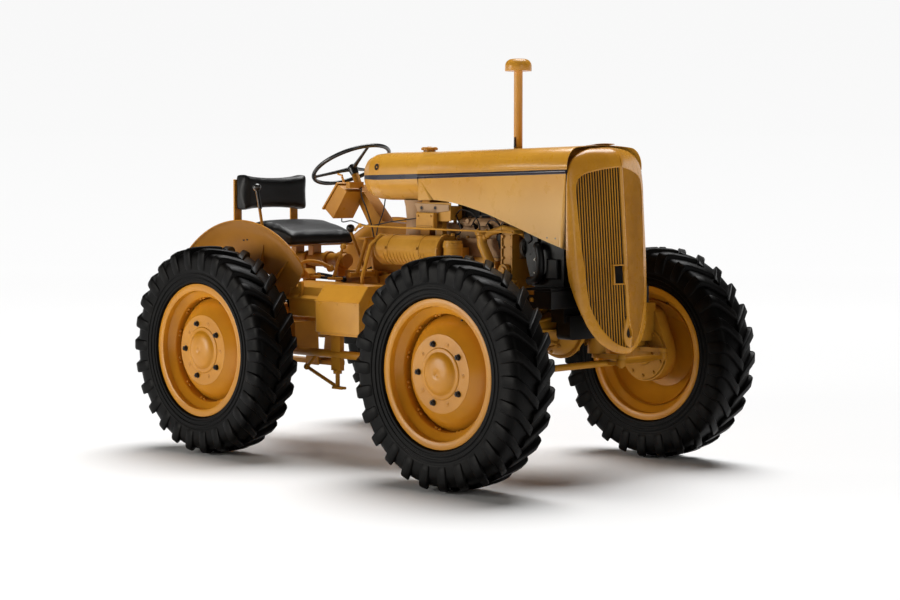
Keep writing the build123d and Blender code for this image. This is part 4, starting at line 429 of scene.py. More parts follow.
def wheel(name, end, hand):
    low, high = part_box(name)
    hub = Vector(((low[0] + high[0]) / 2, tyre_mid(end), (low[2] + high[2]) / 2))
    out = Vector((0, hand, 0))
    at = lambda o, r, t: hub + Vector((r * math.cos(t), hand * o, r * math.sin(t)))
    sweep = [2 * math.pi * i / 96 for i in range(96)]
    piece = Piece()
    spin = lambda profile: piece.grid([[at(o, r, t) for t in sweep] for o, r in profile + profile[:1]],
                                      around=True)
    upper = [(0.097, 0.334), (0.0965, 0.335), (0.0935, 0.335), (0.0925, 0.333), (0.0910, 0.325),
             (0.0905, 0.309), (0.0880, 0.3055), (0.0830, 0.305), (0.0640, 0.305), (0.0600, 0.3025),
             (0.0390, 0.2735), (0.0340, 0.2705), (0.0300, 0.270)]
    lower = [(0.0300, 0.2645), (0.0350, 0.2650), (0.0425, 0.2690), (0.0630, 0.2965), (0.0670, 0.2990),
             (0.0880, 0.2992), (0.0940, 0.3010), (0.0968, 0.3070)]
    spin(upper + [(-o, r) for o, r in upper[::-1]] + [(-o, r) for o, r in lower[::-1]] + lower)
    face = eased([(-0.040, 0.2640, 0), (-0.014, 0.2638, 0), (-0.004, 0.2585, 0), (0.014, 0.2440, 0),
                  (0.036, 0.2230, 0), (0.053, 0.2010, 0), (0.063, 0.1875, 0), (0.069, 0.1790, 0),
                  (0.0718, 0.1755, 0), (0.0725, 0.1720, 0), (0.0725, 0.1300, 0), (0.0725, 0.1170, 0)], 3)
    rear = [(p.x - 0.007, p.y - (0.004 if p.y > 0.185 else 0.0)) for p in face]
    spin([(p.x, p.y) for p in face] + rear[::-1])
    cap = [(0.0700, 0.1175), (0.0745, 0.1160), (0.0768, 0.1130), (0.0775, 0.1090), (0.0765, 0.1000),
           (0.0780, 0.0955), (0.0830, 0.0905), (0.0900, 0.0820), (0.0955, 0.0680), (0.0985, 0.0500),
           (0.0998, 0.0300), (0.0996, 0.0140), (0.0975, 0.0095), (0.0962, 0.0050), (0.0960, 0.0)]
    piece.grid([[at(o, max(r, 0.0001), t) for t in sweep] for o, r in cap], around=True, ends=True)
    piece.turn(hub + out * -0.020, out, [(0, 0.050), (0.004, 0.062), (0.075, 0.062)], 48)
    for k in range(5):
        t = 2 * math.pi * k / 5
        piece.turn(at(0.0715, bolt_circle, t), out, [(0, 0.0105), (0.0022, 0.0105), (0.0030, 0.0085)], 20)
        piece.turn(at(0.0735, bolt_circle, t), out, [(0, 0.0050), (0.0025, 0.0048)], 12)
    for k in range(12):
        for t in (2 * math.pi * (k + 0.5) / 12 - 0.045, 2 * math.pi * (k + 0.5) / 12 + 0.045):
            piece.turn(at(0.0170, 0.2650, t), at(0, 0, t) - at(0, 1, t),
                       [(0, 0.0090), (0.003, 0.0084), (0.0056, 0.0064), (0.0068, 0.0030)], 14)
    made = piece.make(name + "_steel", f"wheel_{end}", wheel_paint, 30, (name,))
    nuts = Piece()
    for k in range(5):
        t = 2 * math.pi * (k + 0.5) / 5
        spot = at(0.0722, bolt_circle, t)
        nuts.turn(spot, out, [(0, 0.0150), (0.0030, 0.0140)], 24)
        nuts.turn(spot, out, [(0.002, 0.0128), (0.0125, 0.0128), (0.0150, 0.0108)], 6, 0.4 + k)
        nuts.turn(spot, out, [(0.010, 0.0060), (0.0190, 0.0060), (0.0200, 0.0050)], 14)
    nuts.make(name + "_nuts", f"wheel_{end}", nut_black, 30)
    valve = Piece()
    valve.tube([at(-0.05, 0.268, 1.2), at(0.0, 0.262, 1.2), at(0.035, 0.2585, 1.2)], [0.005, 0.005, 0.0045],
               10)
    valve.make(name + "_valve", f"wheel_{end}", nut_black, 30)


for end, hand in wheels:
    wheel("rim_" + end, end, hand)

# ---------------------------------------------------------------- frame and axles
# Cast axle housings with drop boxes at the hubs, and a frame of pressed rails bolted between them. All of
# it is brushed with the same paint as the sheet metal, which has dulled and holds road dirt and oil; its
# corners are also darkened as painted shade.
casting_paint = paint("casting paint", (0.52, 0.240, 0.022), (0.40, 0.176, 0.014), rough=0.42, coat=0.18,
                      grime=0.34, peel=0.30, crevice=0.05)
frame_paint = paint("frame paint", (0.50, 0.222, 0.018), (0.38, 0.160, 0.012), rough=0.40, coat=0.22,
                    grime=0.30, crevice=0.06)


def dress(finish, *names, soft=0.0016):
    """Paints CAD pieces and eases their edges."""
    for name in names:
        piece = nodes[name]
        for slot in piece.material_slots:
            slot.material = finish
        if soft:
            weld = piece.modifiers.new("weld", "WELD")
            weld.merge_threshold = 0.00003
            ease = piece.modifiers.new("eased edges", "BEVEL")
            ease.width = soft
            ease.segments = 2
            ease.limit_method = "ANGLE"
            ease.angle_limit = math.radians(36)
            ease.harden_normals = True


dress(casting_paint, "front_axle", "rear_axle", "knuckle_right", "knuckle_left", "transmission", "drawbar",
      "pitman_arm", "steering_gear", soft=0.003)
dress(frame_paint, "cross_tube", "lower_tube_right", "lower_tube_left", "tie_rod", "tank_stand",
      "seat_tube", "pedals", "steering_column")


def rail_paint():
    """Frame paint that gives way to black round the radiator, but for the rail's upper edge."""
    coat = Finish("rail paint")
    at = coat.place()
    x, z, streak = coat.along(0, at), coat.along(2, at), coat.grain(16, 5, 0.65, at)
    black = x.ramp(0.735, 0.745) * (1.0 - z.ramp(0.860, 0.864) * (1.0 - x.ramp(0.985, 0.995)))
    body = coat.mix(streak.ramp(0.35, 0.75), (0.50, 0.208, 0.016), (0.36, 0.140, 0.010))
    return coat.set(Base_Color=coat.mix(black, body, coat.mix(streak.ramp(0.5, 0.8),
            (0.0030, 0.0028, 0.0028), (0.014, 0.010, 0.006))), Roughness=streak * 0.25 + 0.30,
                    Specular_IOR_Level=0.28, Normal=coat.bump(streak, 0.15, 0.0012))


dress(rail_paint(), "rail_right", "rail_left", soft=0.002)

fixings = {}


def fixing(body, finish=None):
    """Bolts and small iron that ride on one body share an object."""
    return fixings.setdefault((body, finish), Piece())


hub_z = (tyre_low[2] + tyre_high[2]) / 2
for name, body, hand in (("knuckle_right", "knuckle_right", -1), ("knuckle_left", "knuckle_left", 1),
                         ("rear_axle", "chassis", -1), ("rear_axle", "chassis", 1)):
    low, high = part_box(name)
    x = (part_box("rim_front_right" if "knuckle" in name else "rim_rear_right")[0][0]
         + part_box("rim_front_right" if "knuckle" in name else "rim_rear_right")[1][0]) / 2
    inner = hand * 0.632
    out = Vector((0, -hand, 0))
    iron = fixing(body)
    iron.turn((x, inner + hand * 0.002, hub_z), out, [(0, 0.130), (0.010, 0.130), (0.013, 0.127)], 64)
    iron.turn((x, inner, hub_z), out, [(0, 0.060), (0.020, 0.058), (0.026, 0.050), (0.030, 0.030),
                                       (0.031, 0.002)], 40)
    for k in range(10):
        t = math.radians(18 + 36 * k)
        iron.bolt((x + 0.112 * math.cos(t), inner - hand * 0.010, hub_z + 0.112 * math.sin(t)), out, 0.015,
                  0.010)
    for k in range(4):
        t = math.radians(45 + 90 * k)
        iron.bolt((x + 0.042 * math.cos(t), inner - hand * 0.026, hub_z + 0.042 * math.sin(t)), out, 0.011,
                  0.007)

for end, x in (("front_axle", 0.845), ("rear_axle", -0.845)):
    iron = fixing("chassis")
    for side in (-1, 1):
        for k in range(12):
            t = math.radians(15 + 30 * k)
            iron.bolt((x + 0.108 * math.cos(t), side * 0.0935, 0.685 + 0.108 * math.sin(t)), (0, side, 0),
                      0.013, 0.009)
for side in (-1, 1):
    iron = fixing("chassis")
    outer = side * 0.350
    for x, z in ((-0.70, 0.705), (-0.62, 0.705), (-0.42, 0.705), (0.30, 0.760), (0.36, 0.80), (0.55, 0.84),
                 (0.62, 0.84), (0.86, 0.84), (0.92, 0.84), (0.98, 0.84)):
        iron.bolt((x, outer, z), (0, side, 0), 0.016, 0.011)

# ---------------------------------------------------------------- engine
# Water-cooled four-cylinder engine, open at both sides. Its castings and add-ons are brushed in the body
# colour; the head cover has lost paint to heat, and oil has run down from the joints. Their corners are
# also darkened as painted shade.
engine_paint = paint("engine paint", (0.68, 0.340, 0.052), (0.52, 0.240, 0.028), rough=0.34, coat=0.28,
                     grime=0.30, peel=0.25, crevice=0.05)
pale_casting = paint("faded casting", (0.56, 0.36, 0.20), (0.44, 0.25, 0.12), rough=0.50, coat=0.10,
                     grime=0.42, peel=0.45, crevice=0.05)
dress(engine_paint, "engine_block", "engine_fittings", "manifold", soft=0.0025)
dress(pale_casting, "cylinder_head", soft=0.004)
black_paint = Finish("black enamel")
black_paint = black_paint.set(Base_Color=black_paint.mix(black_paint.grain(30, 4).ramp(0.5, 0.8),
                                                         (0.0035, 0.0032, 0.0032), (0.016, 0.011, 0.007)),
                              Roughness=black_paint.grain(14) * 0.3 + 0.30, Specular_IOR_Level=0.25)
dress(black_paint, "radiator", "fan", "nose_plate")
bare_steel = Finish("dull steel")
bare_steel = bare_steel.set(Base_Color=bare_steel.mix(bare_steel.grain(60, 4).ramp(0.45, 0.75),
                                                      (0.30, 0.28, 0.25), (0.10, 0.05, 0.025)),
                            Metallic=0.85, Roughness=bare_steel.grain(40) * 0.3 + 0.35)
dress(bare_steel, "pto_shaft")
cable_black = Finish("cable rubber")
cable_black = cable_black.set(Base_Color=cable_black.mix(cable_black.grain(50).ramp(0.5, 0.8),
                                                         (0.012, 0.011, 0.010), (0.045, 0.030, 0.018)),
                              Roughness=0.55)

case_y, case_z = -0.200, 1.036
iron = Piece()
# flutes low on the side of the rounded case, and the screwed strap over it
for k in range(13):
    x = -0.080 + k * 0.0235
    path = [(x, case_y - 0.0755 * math.sin(math.radians(a)), case_z + 0.0755 * math.cos(math.radians(a)))
            for a in (96, 106, 116, 126, 136, 146)]
    iron.tube(path, [0.0015, 0.0032, 0.0038, 0.0038, 0.0032, 0.0015], 8)
for x in (-0.06, 0.16):
    arc = [math.radians(a) for a in range(-20, 175, 13)]
    iron.grid([[(x + w, case_y - (0.0765 + h) * math.sin(t), case_z + (0.0765 + h) * math.cos(t))
                for w, h in ((-0.009, -0.001), (-0.009, 0.0015), (0.009, 0.0015), (0.009, -0.001))]
               for t in arc], ends=True)
    iron.bolt((x, case_y - 0.080, case_z + 0.012), (0, -1, 0.15), 0.010, 0.007)
for k in range(9):
    t = 2 * math.pi * k / 9
    iron.bolt((0.300, case_y + 0.079 * math.sin(t), case_z + 0.079 * math.cos(t)), (1, 0, 0), 0.008, 0.005, 0)
# water elbow's clamped cap and the pipe's hose clips
for side in (-1, 1):
    iron.bolt((0.506 + side * 0.027, -0.180, 1.140), (0, 0, 1), 0.013, 0.009)
iron.turn((0.506, -0.180, 1.118), (0, 0, 1), [(0, 0.030), (0.003, 0.034), (0.009, 0.034), (0.012, 0.030)], 32)
for a, b in (((0.530, -0.184, 1.112), (0.560, -0.186, 1.128)),
             ((0.640, -0.186, 1.150), (0.662, -0.186, 1.154))):
    iron.turn(a, Vector(b) - Vector(a), [(0, 0.0165), (0.001, 0.0182), (0.011, 0.0182), (0.012, 0.0165)], 24)
# oil filter's band and centre bolt
iron.turn((0.350, -0.220, 1.066), (0, 0, 1), [(0, 0.046), (0.002, 0.0485), (0.010, 0.0485), (0.012, 0.046)],
          40)
iron.bolt((0.350, -0.220, 1.113), (0, 0, 1), 0.016, 0.012)
# front gear case: flange with bolts and a dipped edge
for z in (0.915, 0.965, 1.015, 1.065, 1.115):
    for x in (0.640, 0.690):
        iron.bolt((x, -0.175, z), (0, -1, 0), 0.012, 0.009)
iron.slab(level(1, -0.176, (0.628, 0.900), (0.636, 0.900), (0.636, 1.125), (0.628, 1.125)), (0, -0.006, 0))
iron.slab(level(1, -0.176, (0.694, 0.900), (0.702, 0.900), (0.702, 1.125), (0.694, 1.125)), (0, -0.006, 0))
iron.turn((0.660, -0.199, 0.956), (0, -1, 0), [(0, 0.030), (0.004, 0.029), (0.006, 0.020), (0.014, 0.019),
        (0.016, 0.012)], 32)
# head studs and cover nuts
for k in range(9):
    for y in (-0.116, 0.116):
        iron.bolt((0.085 + k * 0.066, y, 1.100), (0, 0, 1), 0.014, 0.012)
for k in range(4):
    iron.bolt((0.15 + k * 0.13, 0.0, 1.170), (0, 0, 1), 0.016, 0.012)
iron.make("engine_ironwork", "chassis", engine_paint, 34)

# front engine bearer, a long throttle rod, and the pulley that shows beside the fan
links = Piece()
links.turn((0.725, -0.215, 0.870), (0, 0, 1), [(0, 0.026), (0.012, 0.026), (0.018, 0.020), (0.030, 0.020),
        (0.034, 0.028), (0.044, 0.028)], 28)
rod_line = eased([(-0.275, -0.262, 1.150), (-0.240, -0.262, 1.152), (0.0, -0.258, 1.148),
                  (0.40, -0.252, 1.142), (0.760, -0.246, 1.138)], 6)
links.tube(rod_line, 0.0042, 10)
links.tube([(-0.300, -0.262, 1.128), (-0.272, -0.262, 1.152), (-0.262, -0.246, 1.156)], 0.006, 10)
links.turn((-0.262, -0.268, 1.153), (0, 1, 0), [(0, 0.009), (0.003, 0.012), (0.010, 0.012), (0.013, 0.009)],
           20)
links.turn((0.757, -0.240, 1.138), (0, 1, 0), [(0, 0.008), (0.003, 0.010), (0.012, 0.010), (0.090, 0.006)],
           16)
# small castings, clevises and rods above the rail behind the step
links.slab(level(1, -0.345, (-0.640, 0.878), (-0.560, 0.878), (-0.560, 0.905), (-0.590, 0.930),
                 (-0.640, 0.925)), (0, 0.060, 0), 0.004)
links.turn((-0.612, -0.352, 0.905), (0, 1, 0), [(0, 0.020), (0.010, 0.022), (0.060, 0.022), (0.070, 0.018)],
           28)
links.tube(eased([(-0.700, -0.300, 0.930), (-0.640, -0.290, 0.962), (-0.560, -0.270, 0.960),
                  (-0.500, -0.250, 0.935)], 5), 0.010, 12)
links.turn((-0.500, -0.262, 0.930), (0, 1, 0), [(0, 0.014), (0.006, 0.018), (0.022, 0.018), (0.028, 0.014)],
           24)
links.box((-0.560, -0.335, 0.880), (-0.500, -0.285, 0.896), 0.003)
for x, y in ((-0.545, -0.325), (-0.545, -0.295), (-0.515, -0.310)):
    links.bolt((x, y, 0.896), (0, 0, 1), 0.013, 0.010)
links.tube([(-0.420, -0.300, 0.880), (-0.400, -0.290, 0.960), (-0.372, -0.276, 1.045)],
           [0.009, 0.008, 0.007], 12)
links.turn((-0.372, -0.286, 1.045), (0, 1, 0), [(0, 0.012), (0.004, 0.015), (0.018, 0.015), (0.022, 0.012)],
           20)
links.box((-0.445, -0.318, 0.876), (-0.385, -0.268, 0.890), 0.003)
links.make("engine_links", "chassis", engine_paint, 34)
rods = Piece()
rods.tube(eased([(-0.697, -0.160, 0.893), (-0.600, -0.165, 0.886), (-0.495, -0.160, 0.871)], 4), 0.0085, 12)
rods.tube([(-0.660, -0.300, 0.908), (-0.520, -0.310, 0.886), (-0.430, -0.305, 0.884)], 0.0075, 12)
rods.turn((-0.495, -0.172, 0.871), (0, 1, 0), [(0, 0.012), (0.004, 0.015), (0.018, 0.015), (0.022, 0.012)],
          20)
rods.make("black_rods", "chassis", black_paint, 34)

# pale cover along the head, black leads from the distributor, and a dark sheet on the far side, which
# darkens the view across the engine
cover = Piece()
rows = []
for x, grow in ((0.282, -0.006), (0.288, 0.0), (0.632, 0.0), (0.638, -0.006)):
    rows.append([(x, y, z) for y, z in ((-0.108 - grow, 1.160), (-0.112 - grow, 1.178),
                                        (-0.104 - grow, 1.191 + grow), (-0.090, 1.197 + grow),
                                        (-0.030, 1.198 + grow), (-0.016 + grow, 1.190 + grow),
                                        (-0.012 + grow, 1.160))])
cover.grid(rows, around=True, ends=True)
for k in range(5):
    cover.bolt((0.310 + k * 0.075, -0.062, 1.197), (0, 0, 1), 0.012, 0.008)
cover.turn((0.345, -0.1130, 1.182), (0, -1, 0.12), [(0, 0.013), (0.004, 0.012), (0.006, 0.007)], 24)
cover.make("head_cover", "chassis", pale_casting, 36)
far_dark_sheet = Piece()
far_dark_sheet.slab(level(1, 0.128, (0.045, 1.130), (0.700, 1.130), (0.700, 1.215), (0.640, 1.262),
                        (0.045, 1.276)), (0, 0.004, 0), 0.001)
for k in range(6):
    far_dark_sheet.tube([(0.10 + 0.1 * k, 0.1275, 1.145), (0.10 + 0.1 * k, 0.1275, 1.240)], 0.004, 8)
far_dark_sheet.make("far_side_dark_sheet", "chassis", black_paint, 36)
wires = Piece()
for path, r in (([(0.590, -0.128, 1.146), (0.560, -0.140, 1.192), (0.500, -0.143, 1.214),
                  (0.430, -0.138, 1.200), (0.385, -0.128, 1.160)], 0.0032),
                ([(0.595, -0.132, 1.142), (0.575, -0.150, 1.180), (0.535, -0.152, 1.190),
                  (0.495, -0.142, 1.165)], 0.0032),
                ([(0.600, -0.135, 1.138), (0.610, -0.156, 1.172), (0.640, -0.150, 1.186),
                  (0.680, -0.130, 1.160)], 0.0032),
                ([(0.270, -0.120, 1.218), (0.302, -0.140, 1.195), (0.330, -0.146, 1.150),
                  (0.322, -0.150, 1.120), (0.290, -0.175, 1.110)], 0.0036),
                ([(0.292, -0.136, 1.215), (0.340, -0.150, 1.238), (0.410, -0.150, 1.222),
                  (0.450, -0.146, 1.178), (0.455, -0.142, 1.140)], 0.0030)):
    wires.tube(eased(path, 8), r, 8)
wires.make("ignition_wires", "chassis", cable_black)
spark = Piece()
spark.turn((0.600, -0.120, 1.060), (0.1, -0.35, 1), [(0, 0.030), (0.040, 0.030), (0.044, 0.034),
        (0.062, 0.034), (0.080, 0.026), (0.086, 0.014)], 28)
for k in range(4):
    spark.turn((0.30 + 0.1 * k, -0.108, 1.150), (0, -0.7, 0.7),
               [(0, 0.010), (0.016, 0.008), (0.030, 0.006)], 14)
spark.make("distributor", "chassis", black_paint, 34)

# bracket plate with two bolt holes under the tank, the regulator box below it, and the casting behind
bracket = Piece()
face_y = -0.1775
bracket.slab(level(1, face_y, (0.046, 1.268), (0.284, 1.260), (0.284, 1.232), (0.212, 1.224),
                   (0.190, 1.208), (0.070, 1.226)), (0, -0.005, 0), 0.001)
for x in (0.098, 0.192):
    bracket.turn((x, face_y - 0.004, 1.245), (0, -1, 0), [(0, 0.0125), (0.0024, 0.0125), (0.0030, 0.0110),
            (0.0012, 0.0085)], 24)
bracket.turn((-0.075, -0.030, 1.000), (0, 0, 1), [(0, 0.095), (0.03, 0.078), (0.10, 0.066), (0.19, 0.062),
        (0.25, 0.068), (0.276, 0.074), (0.281, 0.074)], 36)
bracket.make("tank_bracket", "chassis", pale_casting, 36)
regulator = Piece()
regulator.slab(level(1, -0.178, (0.082, 1.138), (0.205, 1.138), (0.205, 1.222), (0.082, 1.222)),
               (0, -0.030, 0), 0.004)
regulator.slab(level(1, -0.208, (0.094, 1.150), (0.193, 1.150), (0.193, 1.158), (0.094, 1.158)),
               (0, -0.0025, 0), 0.0008)
for x in (0.100, 0.187):
    regulator.bolt((x, -0.208, 1.206), (0, -1, 0), 0.009, 0.005)
regulator.make("regulator_box", "chassis", engine_paint, 36)
cowl_and_hole_shade = Piece()
# black discs just inside the bracket plate's two holes: painted shade for their insides
for x in (0.098, 0.192):
    cowl_and_hole_shade.turn((x, face_y - 0.0045, 1.245), (0, -1, 0),
                   [(0, 0.0082), (0.0012, 0.0082), (0.0014, 0.0040)], 20)

# black side of the fan cowl with a dynamo, hoses and clips before it
cowl_and_hole_shade.slab(level(1, -0.190, (0.835, 0.890), (0.872, 0.884), (0.872, 1.300), (0.800, 1.262),
                     (0.770, 1.222), (0.800, 1.000)), (0, 0.004, 0), 0.001)
cowl_and_hole_shade.slab(level(1, -0.214, (0.872, 0.905), (0.902, 0.905), (0.902, 1.330), (0.872, 1.300)),
               (0, -0.012, 0), 0.002)
cowl_and_hole_shade.slab(level(1, -0.2145, (0.960, 0.930), (1.026, 0.930), (1.026, 1.020), (0.960, 1.020)),
               (0, -0.020, 0), 0.004)
for path, r in (([(0.900, -0.226, 1.080), (0.925, -0.246, 1.070), (0.940, -0.250, 1.020),
                  (0.935, -0.246, 0.960), (0.900, -0.236, 0.925), (0.840, -0.215, 0.915)], 0.019),
                ([(0.930, -0.262, 0.870), (0.860, -0.285, 0.846), (0.780, -0.300, 0.842),
                  (0.700, -0.315, 0.852)], 0.022),
                ([(0.775, -0.205, 1.170), (0.830, -0.222, 1.150), (0.860, -0.222, 1.110),
                  (0.842, -0.225, 1.090)], 0.006)):
    cowl_and_hole_shade.tube(eased(path, 8), r, 16)
cowl_and_hole_shade.make("fan_cowl_side", "chassis", black_paint, 36)
ring = Piece()
ring.turn((0.776, -0.168, 1.067), (1, 0, 0), [(0, 0.012), (0, 0.044), (0.003, 0.046), (0.007, 0.036),
        (0.011, 0.046), (0.014, 0.044), (0.014, 0.012)], 40)
for z in (0.955, 1.015, 1.150, 1.230):
    ring.bolt((0.887, -0.2262, z), (0, -1, 0), 0.010, 0.007)
ring.make("dynamo_pulley", "chassis", bare_steel, 34)

pulley = Piece()
fan_low, fan_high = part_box("fan")
fan_mid = Vector(((fan_low[0] + fan_high[0]) / 2, (fan_low[1] + fan_high[1]) / 2,
                  (fan_low[2] + fan_high[2]) / 2))
pulley.turn(fan_mid + Vector((-0.052, 0, 0)), (1, 0, 0), [(0, 0.020), (0, 0.066), (0.004, 0.068),
        (0.008, 0.064), (0.012, 0.056), (0.016, 0.064), (0.020, 0.068), (0.024, 0.066), (0.024, 0.020)], 48)
pulley.make("fan_pulley", "chassis", engine_paint, 34)
cowl = Piece()
shroud_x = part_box("radiator")[0][0]
cowl.grid([[(shroud_x + dx, 0.0 + r * math.cos(t), fan_mid.z + r * math.sin(t))
            for t in (2 * math.pi * i / 64 for i in range(64))]
           for dx, r in ((-0.002, 0.196), (-0.006, 0.200), (-0.006, 0.212), (0.0, 0.216),
                         (0.006, 0.212), (0.006, 0.200), (-0.002, 0.196))], around=True)
cowl.make("fan_cowl_ring", "chassis", black_paint, 34)

# ---------------------------------------------------------------- hood and tank
# Sheet steel hood in three parts and a fuel tank with a rounded tail behind it, in one line. A navy band
# is painted along both, at the hinges. Two rivets hold a catch near each panel's lower front corner.
def band_paint(name):
    """Body paint with the navy band, whose edges are lines in the side view. Its sides are painted paler
    towards the bottom as a painted sheen, and its corners darker as painted shade mixed with earth.
    """
    coat = Finish(name)
    at = coat.place()
    x, z = coat.along(0, at), coat.along(2, at)
    cloud, speck, streak = coat.grain(3.2, 4, 0.6, at), coat.grain(80, 3, 0.7, at), coat.grain(14, 5, 0.65,
            at)
    # ambient occlusion darkens the corners: painted shade, mixed with streaks of real earth
    corner = coat.node("ShaderNodeAmbientOcclusion", {"samples": 6}, {"Distance": 0.03}, out="AO")
    body = coat.mix(cloud.ramp(0.32, 0.68), (0.660, 0.305, 0.028), (0.740, 0.365, 0.040))
    # paler towards the bottom of the sides: a painted sheen, the soft box's reflection
    above_sheen = z.ramp(1.22, 1.40)
    body = coat.mix((1.0 - above_sheen) * 0.55, body, (0.880, 0.540, 0.190))
    body = coat.mix(speck.ramp(0.70, 0.84) * 0.16, body, (0.20, 0.09, 0.03))
    dirt_and_corner_shade = (1.0 - corner.ramp(0.3, 0.95)) * (streak.ramp(0.3, 0.7) * 0.5 + 0.2) + streak.ramp(0.66,
            0.85) * 0.10
    body = coat.mix(dirt_and_corner_shade, body, (0.10, 0.045, 0.015))
    top = x * 0.0145 + 1.4104
    foot = x * 0.0197 + 1.3862 + x.ramp(-0.42, -0.20, 0.0085, 0.0)
    inside = (z - foot).ramp(-0.0004, 0.0004) * (top - z).ramp(-0.0004, 0.0004) * x.ramp(-0.455, -0.445)
    navy = coat.mix(streak.ramp(0.55, 0.8) * 0.5, (0.0085, 0.0105, 0.0300), (0.030, 0.026, 0.030))
    return coat.set(Base_Color=coat.mix(inside, body, navy), Roughness=streak * 0.18 + dirt_and_corner_shade * 0.3 + 0.20,
                    Specular_IOR_Level=0.40, Coat_Weight=0.22, Coat_Roughness=0.18,
                    Normal=coat.bump(coat.grain(190, 2, 0.5, at) + cloud * 0.8, 0.09, 0.0012))


hood_paint = band_paint("hood paint with band")
dress(hood_paint, "hood_top", "hood_right", "hood_left", soft=0.0008)
dress(hood_paint, "fuel_tank", soft=0.0)
sheet_paint = paint("sheet paint", (0.66, 0.305, 0.032), (0.57, 0.250, 0.024), rough=0.30, coat=0.40,
                    grime=0.20, peel=0.09)
dress(sheet_paint, "intake_stack", soft=0.0012)

trim = Piece()
hood_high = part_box("hood_top")[1]
# pressed crease above the band on hood and tank
for hand in (-1, 1):
    crease = [(0.06 + (1.112 - 0.06) * k / 12, hand * (0.1632 + (0.2662 - 0.1632) * k / 12),
               1.4185 + 0.0165 * k / 12) for k in range(13)]
    trim.tube(crease, 0.0028, 8)
trim.make("hood_crease", "chassis", sheet_paint, 40)
# navy sleeves over both hinge lines, round so that the panels turn under them
navy_paint = Finish("navy enamel")
navy_paint = navy_paint.set(Base_Color=navy_paint.mix(navy_paint.grain(22, 4).ramp(0.5, 0.8),
        (0.0085, 0.0105, 0.0300), (0.030, 0.026, 0.030)), Roughness=navy_paint.grain(14) * 0.2 + 0.22,
                            Coat_Weight=0.4)
sleeve = Piece()
for hand in (-1, 1):
    ends = [Vector((0.054, hand * 0.1635, 1.40207)), Vector((1.108, hand * 0.2661, 1.41993))]
    sleeve.tube([ends[0], ends[0].lerp(ends[1], 0.004), ends[0].lerp(ends[1], 0.996), ends[1]],
                [0.0072, 0.0082, 0.0082, 0.0072], 20)
sleeve.make("hinge_sleeves", "chassis", navy_paint, 50)
# four draws that nothing uses, kept so that every later bolt head stays turned as it is
for unused in range(4):
    chance.random()
for hand, body in ((-1, "hood_panel_right"), (1, "hood_panel_left")):
    rivets = Piece()
    for x, z in ((0.985, 1.118), (1.040, 1.116)):
        y = -(0.1635 + (x - 0.05) / 1.062 * 0.103) - 0.0005
        rivets.turn((x, -hand * y, z), (0, hand, 0), [(0, 0.0045), (0.0015, 0.0040), (0.0026, 0.0020)], 14)
    rivets.make(body + "_rivets", body, bare_steel)
# the crown's front lip stands a little off the shell, bowed with the hood
catch = Piece()
lip_rows = []
for k in range(13):
    y = -0.085 + 0.140 * k / 12
    z = 1.5405 - 0.55 * y * y
    lip_rows.append([(1.070, y, z), (1.095, y, z + 0.0012), (1.124, y, z + 0.0055), (1.1245, y, z + 0.0078),
                     (1.095, y, z + 0.0038), (1.070, y, z + 0.0020)])
catch.grid(lip_rows, around=True, ends=True)
catch.make("hood_crown_lip", "chassis", sheet_paint, 40)
hole = Piece()
# round opening high on the tank's tail, with a rolled rim
spot = Vector((-0.244, -0.1625, 1.447))
facing = Vector((-0.10, -0.98, 0.18)).normalized()
hole.turn(spot - facing * 0.004, facing, [(0, 0.0200), (0.0035, 0.0205), (0.0050, 0.0190), (0.0040, 0.0165),
        (0.0010, 0.0160)], 32)
hole.make("tank_eye_rim", "chassis", sheet_paint, 40)
# black disc just inside the opening: painted shade for its inside
dark = Piece()
dark.turn(spot - facing * 0.003, facing, [(0, 0.0165), (0.0035, 0.0165), (0.0036, 0.0100),
        (0.0030, 0.0010)], 24)
dark.make("tank_eye_shade", "chassis", black_paint, 40)
cap_low, cap_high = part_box("filler_cap")
cap = Piece()
mid = Vector(((cap_low[0] + cap_high[0]) / 2, (cap_low[1] + cap_high[1]) / 2, cap_low[2]))
cap.turn(mid, (0, 0, 1), [(-0.002, 0.031), (0.0085, 0.031), (0.0085, 0.0385), (0.0100, 0.0405),
                          (0.0195, 0.0405), (0.0225, 0.0385), (0.0240, 0.0340), (0.0240, 0.0130),
                          (0.0260, 0.0110), (0.0275, 0.0050)], 48)
for k in range(24):
    t = 2 * math.pi * k / 24
    cap.tube([mid + Vector((0.0405 * math.cos(t), 0.0405 * math.sin(t), z)) for z in (0.0105, 0.0190)],
             0.0016, 6)
cap.make("filler_cap_lid", "chassis", sheet_paint, 40, ("filler_cap",))
clip = Piece()
stack_low, stack_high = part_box("intake_stack")
stack_mid = Vector(((stack_low[0] + stack_high[0]) / 2, (stack_low[1] + stack_high[1]) / 2, 0))
foot_z = hood_high[2]
clip.slab(level(1, -0.0225, (stack_mid.x - 0.006, foot_z - 0.004), (stack_mid.x + 0.006, foot_z - 0.004),
                (stack_mid.x + 0.004, foot_z + 0.045), (stack_mid.x - 0.004, foot_z + 0.045)),
          (0, -0.004, 0), 0.001)
clip.make("stack_clip", "chassis", black_paint, 40)

# ---------------------------------------------------------------- grille
# Shield of pressed steel, folded to a low V, with a rolled outer edge and a deep crown. Sixteen round-nosed
# upright bars stand each side of a beaded middle strip; a black sheet behind is painted shade in the gaps.
grille_paint = paint("grille paint", (0.70, 0.318, 0.030), (0.54, 0.230, 0.018), rough=0.27, coat=0.45,
                     grime=0.16, peel=0.08, crevice=0.02)
shell_low, shell_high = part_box("grille_shell")
nose_x, shell_half = shell_low[0], shell_high[1]
